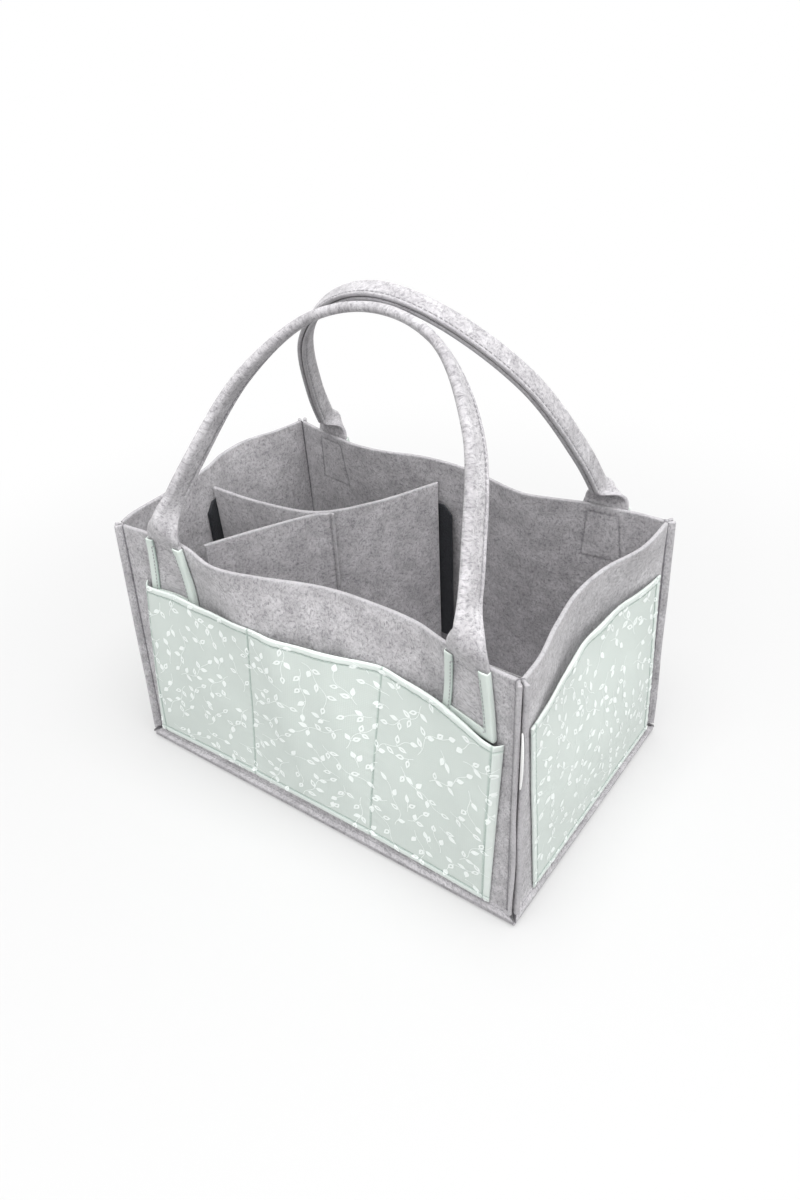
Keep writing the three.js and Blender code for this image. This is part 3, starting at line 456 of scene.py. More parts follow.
def wall_place(wall):
    """The column is the distance along the wall, then along the corner flange past its
    root. The row is the height over the seam root, then the way down the bottom flange."""
    half, taper_width, touch = wall["half"], 13.0, 0.04
    start = half - taper_width

    def place(c, r, face):
        side, a = np.sign(c), np.abs(c)
        s = np.clip(c, -half, half)
        up = np.clip(r / (wall_height - seam_root_z), 0, 1)
        root_z = seam_root_z + face * mitre
        # the rim drops where the wall bows, because the wall keeps its length
        rim = wall_height - (2 / 3) * bow_at(wall, s, wall_height) ** 2 / wall_height
        z = root_z + (rim - root_z) * up
        # the last strip before a corner takes up the taper and the mitre
        half_here = half - wall["half_taper"] * rise_at(z)
        end = half_here - touch * diagonal - face * mitre
        last = np.clip((np.abs(s) - start) / taper_width, 0, 1)
        along = np.where(np.abs(s) > start, side * (start + (end - start) * last), s)
        thick = face * felt_thickness
        panel = on_wall(wall, along, z, thick)
        # the corner flange goes out at 45 degrees, and its two layers part and ripple
        share = np.clip((a - half) / corner_flange, 0, 1)
        across = touch / 2 + (0.9 + 0.5 * np.sin(z / 19 + half)) * share ** 2 + thick
        root = thick / diagonal - across
        out = root + share * (corner_flange - root)
        ripple = 0.4 * np.sin(z / 14 + half) * share
        corner = wall["place"](side * (half_here + (out - across - ripple) * diagonal),
                               inner_at(wall, z) + (out + across + ripple) * diagonal, z)
        # the bottom flange goes out and down at 45 degrees and widens to its mitred tips
        down = np.clip(-r / wall_flange, 0, 1)
        lift = seam_gap / 2 + thick
        first = thick / diagonal - lift
        length = first + (wall_flange - first) * down
        tip = half + (wall_flange + lift) * diagonal - seam_gap
        foot = wall["place"](along * (1 - down) + s * tip / half * down,
                             wall["inner"] + (length + lift) * diagonal,
                             seam_root_z + (lift - length) * diagonal)
        return [np.where(a > half, u, np.where(r < 0, v, w)) for u, v, w in zip(corner, foot, panel)]

    return place


def bell(distance, width):
    """1 at no distance, and next to nothing from twice the width: e^-(distance/width)^2."""
    return np.exp(-(distance / width) ** 2)


def pulled_in(at, width, depth):
    """The share of its thickness that a sheet keeps near a row of stitches."""
    return lambda distance: 1 - depth * bell(distance - at, width)


seam_stitch = 2.8
tab_bottom, tab_stitch_inset, tab_stitch_top = 150.0, 5.2, 194.0
strap_width, strap_foot_width, fold_z = 32.0, 42.0, wall_height + 2
handle_roots = {"front": (-118.0, 128.0), "back": (-125.5, 117.5)}
ring_half, ring_spread = strap_width / 2 - tab_stitch_inset, (strap_foot_width - strap_width) / 2
ring_low, ring_high = (z - seam_root_z for z in (tab_bottom + tab_stitch_inset, tab_stitch_top))
# Along a handle end's box of stitches the wall thins by 0.3 and is darkened with painted shade by 0.3; along
# each corner seam's root it is darkened with painted shade by 0.9.
crease_width, ring_dent_and_shade, corner_root_shade, felt_step = 0.9, 0.3, 0.9, 2.4


def near_ring(c, r, roots):
    """1 on the boxes of stitches that hold a handle's ends, and next to nothing 2 mm away."""
    share = np.zeros(c.shape)
    widened = ring_half + ring_spread * np.clip((fold_z - seam_root_z - r) / (fold_z - tab_bottom), 0, 1)
    for root in roots:
        past_side, past_end = np.abs(c - root) - widened, np.maximum(ring_low - r, r - ring_high)
        share = np.maximum(share, bell(np.maximum(past_side, past_end), crease_width))
    return share


near_root = pulled_in(seam_stitch, 1.1, 0.45)
for name, wall in walls.items():
    half, roots = wall["half"], handle_roots.get(name, ())
    ring_lines = [root + way * (ring_half + ring_spread * k / 4)
                  for root in roots for way in (-1, 1) for k in range(5)]
    columns = [side * (half + past) for side in (-1, 1) for past in (0, seam_stitch, corner_flange)]
    piece = sheet_piece(
        f"{name}_wall_felt", lines(sorted(columns + ring_lines), felt_step),
        lines([-wall_flange, -seam_stitch, 0, corner_flange_foot, ring_low, ring_high,
               wall_height - seam_root_z], felt_step),
        wall_place(wall), felt, lambda c, r: (np.abs(c) < half) | (r > corner_flange_foot),
        thin=lambda c, r: (near_root(np.abs(c) - half) * near_root(-r)
                           * (1 - ring_dent_and_shade * near_ring(c, r, roots))),
        # painted shade: the crease mark darkens the corner roots and the stitch boxes
        marks={"crease": lambda c, r: np.maximum(
            ring_dent_and_shade * near_ring(c, r, roots), corner_root_shade * bell(np.abs(c) - half, crease_width))})
    mount(piece, "bag", "felt", f"{name}_wall")

# The box's own seams: grey polyester thread in straight stitches of 3.5 mm, through both
# layers of every flange close to its root, seen on both faces of the corner flanges.


def thread_material(name, colour, dark):
    """Twisted polyester thread: a soft gleam, with a turn of ply about every 0.7 mm."""
    made, tree = new_material(name)
    ply = add(tree, "TexWave", {"Scale": 900.0, "Distortion": 1.5, "bands_direction": "DIAGONAL",
                                "Vector": add(tree, "TexCoord", {}, "Object")}, "Fac")
    surface(tree, mixed(tree, ply, dark, colour), {"Roughness": 0.6, "Sheen Weight": 0.2},
            {"Strength": 0.4, "Distance": 0.0001, "Height": ply})
    return made


grey_thread = thread_material("grey twisted polyester thread", "#a6a4a8", "#7f7d82")
plain_stitch, fine_stitch, stitch_cover, stitch_points = (3.5, 0.65), (3.0, 0.55), 0.72, 30


def stitches(runs, place, height, size):
    """Rows of stitches on a surface. Each run is a straight line from (c0, r0) to (c1, r1)
    on it, cut into equal pitches; each stitch is a capsule over most of its pitch, laid on
    the surface by place(c, r, height), sunk at both ends. Size is the pitch and the width.
    Returns points and quads."""
    pitch, width = size
    t = np.array([0.0, 0.12, 0.5, 0.88, 1.0])[None, :, None]
    thick = np.array([0.25, 0.8, 1.0, 0.8, 0.25])[None, :, None]
    turn = (np.arange(6) * math.tau / 6)[None, None, :]
    points, quads, count = [], [], 0
    for (c0, r0), (c1, r1) in runs:
        length = math.hypot(c1 - c0, r1 - r0)
        number = max(1, round(length / pitch))
        way_c, way_r = (c1 - c0) / length, (r1 - r0) / length
        start = np.arange(number)[:, None, None] + (1 - stitch_cover) / 2
        along = (start + t * stitch_cover) * length / number
        side = np.cos(turn) * thick * width / 2
        high = height + (np.sin(turn) * thick * 0.42 + 0.5 * (thick - 0.9)) * width
        c, r, high = np.broadcast_arrays(
            c0 + way_c * along - way_r * side, r0 + way_r * along + way_c * side, high)
        points.append(gathered(*place(c, r, high)))
        first = count + stitch_points * np.arange(number)[:, None]
        j = np.arange(6)
        ring = np.stack([j, (j + 1) % 6, (j + 1) % 6 + 6, j + 6], axis=1)
        one = [*np.concatenate([ring + 6 * k for k in range(4)]), (0, 3, 2, 1), (0, 5, 4, 3),
               (24, 25, 26, 27), (24, 27, 28, 29)]
        quads.append((first[:, :, None] + np.array(one)).reshape(-1, 4))
        count += number * stitch_points
    return np.concatenate(points), np.concatenate(quads)


def stitch_piece(name, parts, material, body, *nodes):
    """Joins rows of stitches into one piece that rides on a body in place of solids. A row
    is turned round where its first closed stitch encloses a negative volume."""
    points, quads, count = [], [], 0
    for part_points, part_quads in parts:
        first = part_quads[(part_quads < stitch_points).all(axis=1)]
        way = 1 if enclosed(part_points - part_points[0], first) > 0 else -1
        quads.append(part_quads[:, ::way] + count)
        points.append(part_points)
        count += len(part_points)
    piece = put_mesh(name, np.concatenate(points), np.concatenate(quads), material)
    return mount(piece, body, "grey_thread" if material == grey_thread else "mint_thread", *nodes)


corner_foot, flange_seat, seam_end_gap = seam_root_z + corner_flange_foot + 2, 0.8, 3
for end, side_y in (("front", -1), ("back", 1)):
    for edge, side_x in (("left", -1), ("right", 1)):

        def corner_seam(face):
            """Along the flange, up the corner, and off the flange's face on one side of it."""
            def place(along, z, height):
                across = (seam_gap / 2 + felt_thickness * flange_seat + height) * diagonal * face
                return (side_x * (inner_at(walls["right"], z) + along * diagonal - across),
                        side_y * (inner_at(walls["front"], z) + along * diagonal + across), z)
            return place

        run = [((seam_stitch, corner_foot), (seam_stitch, wall_height - 1))]
        rows = [stitches(run, corner_seam(face), 0.1, plain_stitch) for face in (1, -1)]
        stitch_piece(f"{end}_{edge}_corner_stitches", rows, grey_thread, "bag", f"{end}_{edge}_corner_thread")

for name, wall in walls.items():

    def bottom_seam(s, along, height):
        """Along the wall, down its bottom flange, and off the flange's upper face."""
        lift = seam_gap / 2 + felt_thickness * flange_seat + height
        return wall["place"](s, wall["inner"] + (along + lift) * diagonal,
                             seam_root_z + (lift - along) * diagonal)

    end = wall["half"] - seam_end_gap
    run = [((-end, seam_stitch), (end, seam_stitch))]
    stitch_piece(f"{name}_bottom_stitches", [stitches(run, bottom_seam, 0.1, plain_stitch)], grey_thread,
                 "bag", f"{name}_bottom_thread")

# The pockets: panels of plain-woven printed cotton, hemmed all round and topstitched to the
# wall at their sides, foot and dividing seams. Their mouths stand slack, off the wall.
cloth_thickness, pocket_hem, ink_lift, print_margin = 1.5, 5.0, 0.13, 0.4
dent_width, dent_depth, dent_thinning, inner_relief = 0.75, 0.45, 0.35, 0.4
print_seed, slack_length, slack_height = 11, 6, 2
side_pocket = {
    "seams": [(-92, -84, 0), (94, 99, 1)],
    "slack": [(-92, 0), (-60, 3.5), (-15, 6.2), (20, 6.2), (60, 3.5), (94, 0)],
    "mouth_rises": [(-92, -0.5), (-40, 2.5), (60, 2.5), (94, 1)]}
front_pocket = {
    "seams": [(-146, -160, 2), (-41, -57, 5), (60, 52, 4), (155, 150, 0)],
    "slack": [(-146, 0), (-140, 6.4), (-118, 6.8), (-92, 6.6), (-75, 4.4), (-58, 1.6), (-41, 0),
              (-20, 4), (5, 6.8), (30, 5.5), (48, 2), (60, 0), (78, 3), (100, 6.4), (128, 7),
              (150, 6), (155, 0)],
    "mouth_rises": [(-146, 0), (100, 0), (155, -9)]}
pockets = {"front": front_pocket, "right": side_pocket, "left": side_pocket}


def hem_at(mouths, s, z):
    """1 on the doubled hem, 0 on single cloth, with a soft step between."""
    edge = np.minimum(np.minimum(s - mouths[0], mouths[-1] - s),
                      np.minimum(z - pocket_bottom, pocket_top - z))
    return 1 - smooth(pocket_hem - 0.6, pocket_hem + 0.3, edge)


def cloth_relief(pocket, s, z, near):
    """What the cloth adds outwards, in mm: the hem's second layer, puckers that a row of
    stitches pulls up every 7 mm or so, a few long soft folds below the slack mouth, and the
    dent of the stitches themselves."""
    mouths = np.array(pocket["seams"], float)[:, 0]
    to_side = np.abs(s[..., None] - mouths).min(axis=-1)
    to_end = np.minimum(np.abs(z - pocket_bottom - pocket_hem), np.abs(pocket_top - pocket_hem - z))
    across = 0.16 * (1 + np.sin(s / 1.12 + 2 * np.sin(s / 9))) * np.exp(-to_end / 4.5)
    upward = 0.16 * (1 + np.sin(z / 1.15 + 2 * np.sin(z / 11))) * np.exp(-np.abs(to_side - 1) / 4.5)
    calm = smooth(0, 30, to_side) * smooth(0, 70, z - pocket_bottom)
    folds = 0.7 * (1 + np.sin(s / 10.5 + z / 31 + 1.7 * np.sin(s / 27))) * calm
    return np.maximum(0.5 * hem_at(mouths, s, z) + across + upward + folds - dent_depth * near, 0)


def on_pocket(wall, pocket, s, z, distance):
    """A point over the panel's inner face. A seam of a pocket is where it meets the mouth
    and the foot, and how high its foot is; s and z are taken at the mouth, and towards the
    foot each line shifts by its own amount. Slack, times a quarter sine over the height,
    says how far the cloth stands off the wall."""
    mouth, foot, foot_rise = np.array(pocket["seams"], float).T
    height = (z - pocket_bottom) / (pocket_top - pocket_bottom)
    slack = np.maximum(curve_through(pocket["slack"], s), 0) * np.sin(np.clip(height, 0, 1) * math.pi / 2)
    to_foot = np.clip(1 - height, 0, 1)
    shift, rise = (curve_through(np.stack([mouth, change], axis=1), s)
                   for change in (foot - mouth, foot_rise))
    raised = z + rise * to_foot + curve_through(pocket["mouth_rises"], s) * (1 - to_foot)
    return on_wall(wall, s + shift * to_foot, raised, felt_thickness + seam_gap + slack + distance)


# Plain-woven cotton, piece-dyed pale mint. Threads lie about 0.35 mm apart; they are drawn
# twice as coarse, so that the weave still shows. The doubled hems look paler and fuller.


def cotton_material(name, colour, pale, shade):
    made, tree = new_material(name)
    flat = own(tree, "flat", "Vector")
    threads = [add(tree, "TexWave", {"Scale": 220.0, "Distortion": 0.6, "Detail": 1.0,
                                     "bands_direction": way, "Vector": flat}, "Fac") for way in "XY"]
    weave = maths(tree, "MULTIPLY", *threads)
    cloth = mixed(tree, noise(tree, flat, 45.0, 4.0, 0.6), shade, colour)
    # The crease attribute paints shade along rows of stitches, towards a darker grey-green.
    for share, amount, tint in ((weave, 0.12, pale), (own(tree, "hem"), 0.55, pale),
                                (own(tree, "crease"), 0.65, "#9dafa7")):
        cloth = mixed(tree, maths(tree, "MULTIPLY", share, amount), cloth, tint)
    rumple = maths(tree, "ADD", maths(tree, "MULTIPLY", noise(tree, flat, 110.0, 2.0), 3.0), weave)
    surface(tree, cloth,
            {"Roughness": 0.85, "Specular IOR Level": 0.25, "Sheen Weight": 0.12, "Sheen Roughness": 0.5},
            {"Strength": 0.5, "Distance": 0.00018, "Height": rumple})
    return made


mint_cotton = cotton_material("pale mint plain-woven cotton", "#d1d9d4", "#e3eae6", "#c8d1cc")
mint_thread = thread_material("pale mint twisted polyester thread", "#c9d6d0", "#a9b9b2")
print_ink, tree = new_material("white pigment print on cotton")
patchy = noise(tree, add(tree, "TexCoord", {}, "Object"), 700.0, 2.0)
surface(tree, mixed(tree, patchy, "#ebf4f0", "#fbfdfc"), {"Roughness": 0.8, "Specular IOR Level": 0.25})


def leaf(centre, heading, length, width, slit):
    """A leaf as a ring of quads: its outline is width/2 * sin(pi t^0.8) to either side of
    its midrib, and the slit that is left unprinted along the rib has the same shape."""
    t = np.concatenate([np.linspace(0, 1, 6), np.linspace(1, 0, 6)[1:-1]])
    swell = np.abs(np.sin(np.pi * t ** 0.8)) * np.array([1] * 6 + [-1] * 4)
    outer = np.stack([t * length, swell * width / 2], axis=1)
    inner = np.stack([(0.25 + 0.45 * t) * length, swell * slit / 2], axis=1)
    turn = np.array([[math.cos(heading), math.sin(heading)], [-math.sin(heading), math.cos(heading)]])
    k = np.arange(10)
    return (np.concatenate([outer, inner]) @ turn + centre,
            np.stack([k, (k + 1) % 10, 10 + (k + 1) % 10, 10 + k], axis=1))


def stem(line, width=0.4):
    """A thin band on both sides of a line."""
    way = np.gradient(line, axis=0)
    way /= np.linalg.norm(way, axis=1)[:, None]
    side = np.stack([-way[:, 1], way[:, 0]], axis=1) * width / 2
    k = np.arange(len(line) - 1)
    return (np.concatenate([line + side, line - side]),
            np.stack([k, k + 1, len(line) + k + 1, len(line) + k], axis=1))


def sprig_print(low, high, seed):
    """Twigs that fill a rectangle evenly, long ones first and short ones in the room left
    over. Each is a wavy line with a leaf or a pair of leaves about every 11 mm and one leaf
    at its tip, and keeps 5.5 mm away from the others. Returns flat points and quads."""
    random = np.random.default_rng(seed)
    spacing, room, beyond = 11.0, 5.5, 8
    points, quads, count = [], [], 0
    taken = np.full((1, 2), -1000.0)
    for nodes, tries in ((4, 150), (3, 250), (2, 500), (1, 1200)):
        for spot in random.uniform(low - beyond, high + beyond, (tries, 2)):
            length = spacing * nodes - 3
            t = np.linspace(0, length, 7 * nodes)
            angle = (random.uniform(0, math.tau) + random.uniform(-0.035, 0.035) * t
                     + 0.4 * np.sin(t / 4 + random.uniform(0, math.tau)))
            line = spot + np.stack([np.cumsum(np.cos(angle)), np.cumsum(np.sin(angle))], axis=1) * t[1]
            side, sprouts = random.choice([-1, 1]), [(length, 0.0, 0.0)]
            for place_on in spacing * np.arange(1, nodes) - random.uniform(3, 6):
                side = -side
                sprouts.append((place_on, side * random.uniform(0.5, 0.95), random.uniform(0.6, 2.0)))
                if random.random() < 0.6:
                    sprouts.append((place_on, -side * random.uniform(0.7, 1.2), random.uniform(0.6, 1.4)))
            if nodes == 1:
                sprouts.append((length * 0.55, side * random.uniform(0.7, 1.1), 1.0))
            made, marks = [stem(line)], [line[::3]]
            for place_on, lean, stalk in sprouts:
                at = np.array([np.interp(place_on, t, line[:, k]) for k in (0, 1)])
                way = np.interp(place_on, t, angle) + lean
                heading = np.array([math.cos(way), math.sin(way)])
                root, size = at + stalk * heading, random.uniform(6.2, 7.8)
                slit = random.choice([0.04, 0.04, 0.8, 1.5])
                made.append(leaf(root, way, size, random.uniform(3.5, 4.3), slit))
                if stalk:
                    made.append(stem(np.linspace(at, root, 3)))
                marks.append((root + size / 2 * heading)[None])
            marks = np.concatenate(marks)
            if np.hypot(*(marks[:, None] - taken[None]).transpose(2, 0, 1)).min() < room:
                continue
            taken = np.concatenate([taken, marks])
            for part_points, part_quads in made:
                points.append(part_points)
                quads.append(part_quads + count)
                count += len(part_points)
    return np.concatenate(points), np.concatenate(quads)


for number, (name, pocket) in enumerate(pockets.items()):
    wall, mouths = walls[name], np.array(pocket["seams"], float)[:, 0]
    s_stops = [mouths[0], mouths[0] + pocket_hem, *mouths[1:-1], mouths[-1] - pocket_hem, mouths[-1]]
    z_stops = [pocket_bottom, pocket_bottom + pocket_hem, pocket_top - pocket_hem, pocket_top]

    def near_stitches(s, z):
        """1 on a row of topstitching and next to nothing 1.5 mm away."""
        to_row = [np.abs(at[..., None] - np.array(stops[1:-1])).min(axis=-1)
                  for at, stops in ((s, s_stops), (z, z_stops))]
        return bell(np.minimum(*to_row), dent_width)

    def panel(s, z, face):
        relief = cloth_relief(pocket, s, z, near_stitches(s, z))
        relief = relief * (inner_relief + (1 - inner_relief) * face)
        return on_pocket(wall, pocket, s, z, face * cloth_thickness + relief)

    beside = (0.35, 0.8, 1.4)
    cloth = sheet_piece(
        f"{name}_pocket_cotton", lines(s_stops, 1.6, beside), lines(z_stops, 1.6, beside), panel,
        mint_cotton, thickness=cloth_thickness, edge=0.9,
        thin=lambda s, z: 1 - dent_thinning * near_stitches(s, z),
        # the crease mark is painted shade along the topstitching
        marks={"hem": lambda s, z: hem_at(mouths, s, z), "crease": near_stitches})
    mount(cloth, "bag", "print_cotton", f"{name}_pocket_panel")

    low, high = np.array([mouths[0], pocket_bottom]), np.array([mouths[-1], pocket_top])
    flat_points, motif = sprig_print(low, high, print_seed + number)
    middles = flat_points[motif].mean(axis=1)
    motif = motif[((middles > low + print_margin) & (middles < high - print_margin)).all(axis=1)]
    s, z = np.clip(flat_points, low + print_margin, high - print_margin).T
    used, index = np.unique(motif, return_inverse=True)
    motif = index.reshape(motif.shape)
    printed = gathered(*panel(s, z, np.full_like(s, 1.0 + ink_lift / cloth_thickness)))[used]
    a, b, c = (printed[motif[:, k]] for k in (0, 1, 2))
    facing_in = np.cross(b - a, c - a) @ np.array(wall["place"](0.0, 1.0, 0.0)) < 0
    motif[facing_in] = motif[facing_in][:, ::-1]
    others = [mount(put_mesh(f"{name}_pocket_print", printed, motif, print_ink), "bag", "print_cotton")]

    def on_face(s, z, height):
        return panel(s, z, 1.0 + height / cloth_thickness)

    (left, foot), (far, head) = (s_stops[1], z_stops[1]), (s_stops[-2], z_stops[2])
    corners = [(left, foot), (far, foot), (far, head), (left, head), (left, foot)]
    hem = [stitches(list(zip(corners[:-1], corners[1:])), on_face, 0.25, fine_stitch)]
    others.append(stitch_piece(f"{name}_pocket_hem_stitches", hem, mint_thread, "bag",
                               f"{name}_pocket_hem_thread"))
    if len(mouths) > 2:
        seams = [stitches([((m, foot), (m, head)) for m in mouths[1:-1]], on_face, 0.2, fine_stitch)]
        others.append(stitch_piece(f"{name}_pocket_seam_stitches", seams, mint_thread, "bag",
                                   *[f"{name}_pocket_seam_thread_{k + 1}" for k in range(len(mouths) - 2)]))

# The handles: each is one long strap of felt. Both ends lie flat on the outside of the wall;
# above the rim the strap is folded in half lengthwise and sewn along its two raw edges.
handles = {
    "front": {"apex_inset": 11.65, "bulge": 9.5, "fold_start": 10, "fold_length": 34.0,
              "tilts": [(0, 0), (0.12, 0), (0.24, 14), (0.36, 28), (0.5, 11), (0.61, -12),
                        (0.72, 6), (0.84, 18), (1, 16)],
              "arch": [(1, 0), (0.972, 0.12), (0.904, 0.31), (0.72, 0.67), (0.392, 0.925), (0, 1)]},
    "back": {"apex_inset": 19.5, "bulge": 2.0, "fold_start": 5, "fold_length": 22.0,
             "tilts": [(0, 0), (0.2, -5), (0.36, 0), (0.52, 16), (0.66, 14), (0.82, 6), (1, 0)],
             "arch": [(1, 0), (0.98, 0.12), (0.927, 0.31), (0.726, 0.67), (0.342, 0.925), (0, 1)]},
}
arch_height, strap_crease, apex_bulge, handle_seam_inset = 180.0, 5.5, 1.0, 2.8
lean_length, rim_blend = 20.0, 16.0
tab_offset = felt_thickness + seam_gap
tab_middle = tab_offset + felt_thickness / 2


def arch_curve(points):
    """A centripetal Catmull-Rom curve through points, as 40 samples for each span: knots are
    spaced by the fourth root of the squared distance. Returns samples and their lengths."""
    p = np.array(points, float)
    p = np.vstack([2 * p[0] - p[1], p, 2 * p[-1] - p[-2]])
    gap = np.linalg.norm(np.diff(p, axis=0), axis=1) ** 0.5
    t = np.linspace(0, 1, 41)[None, :, None]
    p0, p1, p2, p3 = (p[k:len(p) - 3 + k][:, None, :] for k in range(4))
    d0, d1, d2 = (gap[k:len(gap) - 2 + k][:, None, None] for k in range(3))
    m1 = ((p1 - p0) / d0 - (p2 - p0) / (d0 + d1) + (p2 - p1) / d1) * d1
    m2 = ((p2 - p1) / d1 - (p3 - p1) / (d1 + d2) + (p3 - p2) / d2) * d1
    span = p1 + m1 * t + (3 * (p2 - p1) - 2 * m1 - m2) * t ** 2 + (2 * (p1 - p2) + m1 + m2) * t ** 3
    line = np.vstack([span[:, :-1].reshape(-1, 2), p[-2]])
    return line, np.concatenate([[0], np.cumsum(np.linalg.norm(np.diff(line, axis=0), axis=1))])


def beside_line(line, lengths, along, height):
    """A place along a line of samples, moved sideways by a height, and the line's own place
    and way there."""
    at = np.clip(along, 0, lengths[-1])
    way = np.diff(line, axis=0) / np.diff(lengths)[:, None]
    x, y = (np.interp(at, lengths, line[:, k]) for k in (0, 1))
    wx, wy = (np.interp(at, (lengths[1:] + lengths[:-1]) / 2, way[:, k]) for k in (0, 1))
    return x + wy * height, y - wx * height, x, y


# Each strap rises from root to root as an arch, and over its first 20 mm it turns inwards.
for name, handle in handles.items():
    (left, right), wall = handle_roots[name], walls[name]
    arch = [(-x, h) for x, h in handle["arch"]] + handle["arch"][-2::-1]
    handle["line"], handle["lengths"] = arch_curve(
        [((left + right) / 2 + x * (right - left) / 2, h * arch_height) for x, h in arch])
    lean = math.asin((rim_width / 2 - handle["apex_inset"]) / arch_height)
    steps = np.linspace(0, lean_length, 201)
    angles = lean * smooth(0, lean_length, (steps[1:] + steps[:-1]) / 2)
    handle["lean_in"], handle["lean_up"] = (
        np.concatenate([[0], np.cumsum(part(angles) * steps[1])]) for part in (np.sin, np.cos))
    handle.update(wall=wall, roots=(left, right), length=handle["lengths"][-1], lean=lean, lean_steps=steps,
                  root_offsets=face_at(wall, np.array([left, right]), wall_height) + tab_middle)


def strap_section(across, height, folded):
    """The cross-section: across from the crease and height over the middle surface give a
    place sideways and a depth behind the crease. It bends as an arc at the crease, by folded
    times a half turn, and runs straight beside it."""
    fold = np.pi * np.maximum(folded, 0.001)
    bend = fold * np.clip(across / strap_crease, -0.5, 0.5)
    straight = np.sign(across) * np.maximum(np.abs(across) - strap_crease / 2, 0)
    radius = strap_crease / fold
    return (radius * np.sin(bend) + straight * np.cos(bend) + height * np.sin(bend),
            radius * (1 - np.cos(bend)) + np.abs(straight * np.sin(bend)) - height * np.cos(bend))


def on_strap(handle, length, width, height):
    """A point of the folded strap: length along the arch, width across the strap from its
    crease, height over its middle surface. The fold opens out flat towards both roots."""
    total, wall = handle["length"], handle["wall"]
    past_root = np.minimum(length, total - length)
    folded = smooth(-handle["fold_start"], handle["fold_length"], past_root)
    sideways, depth = strap_section(width, height, folded)
    edge_depth = strap_section(strap_width / 2, 0, folded)[1]
    away = smooth(0, handle["fold_length"], past_root)
    tilt = np.radians(curve_through(handle["tilts"], np.clip(length, 0, total) / total)) * away
    behind = depth - edge_depth / 2
    x, h, arch_x, arch_h = beside_line(handle["line"], handle["lengths"], length,
                                       sideways * np.cos(tilt) - behind * np.sin(tilt))
    bulge = handle["bulge"] + (apex_bulge - handle["bulge"]) * arch_h / arch_height
    stands_out = edge_depth + (bulge - edge_depth) * away
    inwards = edge_depth / 2 + sideways * np.sin(tilt) + behind * np.cos(tilt) - stands_out
    angle = handle["lean"] * smooth(0, lean_length, h)
    beyond = np.maximum(h - lean_length, 0)
    lean_in = np.interp(h, handle["lean_steps"], handle["lean_in"]) + np.sin(angle) * beyond
    lean_up = np.interp(h, handle["lean_steps"], handle["lean_up"]) + np.cos(angle) * beyond
    # close to the rim the strap takes the curve of the wall that it is sewn to
    root = np.interp(arch_x, handle["roots"], handle["root_offsets"])
    wall_line = face_at(wall, x, wall_height) + tab_middle
    root = root + (wall_line - root) * (1 - smooth(0, rim_blend, past_root))
    return wall["place"](x, root - lean_in - inwards * np.cos(angle),
                         fold_z + lean_up - inwards * np.sin(angle))


def widening(across, z):
    """A strap's sewn end widens towards its foot: how far a place on it moves outwards."""
    to_foot = np.clip((fold_z - z) / (fold_z - tab_bottom), 0, 1)
    return ring_spread * to_foot * np.clip(across / 3, -1, 1)


def on_tab(handle, end, across, z, distance):
    """A point at a distance over the wall on a strap's sewn end. Its edges lie on the wall,
    and its middle begins to fold up just below the rim."""
    folded = smooth(-handle["fold_start"], handle["fold_length"], z - fold_z)
    sideways, depth = strap_section(across, distance - tab_middle, folded)
    edge_depth = strap_section(strap_width / 2, 0, folded)[1]
    place = handle["roots"][end] + sideways + widening(across, z)
    return on_wall(handle["wall"], place, z, tab_middle + edge_depth - depth)


for name, handle in handles.items():
    total, edge, first = handle["length"], strap_width / 2, handle["fold_length"]
    last, seam, end = total - first, edge - handle_seam_inset, fold_z - tab_bottom
    near_seam = pulled_in(seam, 1.0, 0.5)

    def strap_place(length, width, face):
        """The first and last stretches are the flat ends, from the foot up to the rim, and
        between them the strap follows the folded arch."""
        height = (face - 0.5) * felt_thickness
        left, right = (
            on_tab(handle, k, way * width, np.minimum(fold_z + past, fold_z), tab_middle + height)
            for k, way, past in ((0, 1, length), (1, -1, total - length)))
        return [np.where(length < 0, a, np.where(length > total, b, middle))
                for a, b, middle in zip(left, right, on_strap(handle, length, width, height))]

    strap = sheet_piece(
        f"{name}_handle_felt", lines([-end, 0, first, last, total, total + end], 2.0, (0.5,)),
        lines([-edge, -seam, 0, seam, edge], 1.1, (0.35, 0.8)), strap_place, felt,
        thin=lambda c, r: np.where((c > first) & (c < last), near_seam(np.abs(r)), 1.0))
    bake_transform(strap)
    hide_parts(f"{name}_handle_strap", f"{name}_left_tab", f"{name}_right_tab")
    rows = stitches([((first, side * seam), (last, side * seam)) for side in (-1, 1)],
                    lambda c, r, h: on_strap(handle, c, r, felt_thickness * 0.32 + h), 0.2, plain_stitch)
    stitch_piece(f"{name}_handle_stitches", [rows], grey_thread, f"{name}_handle",
                 f"{name}_handle_seam_thread")

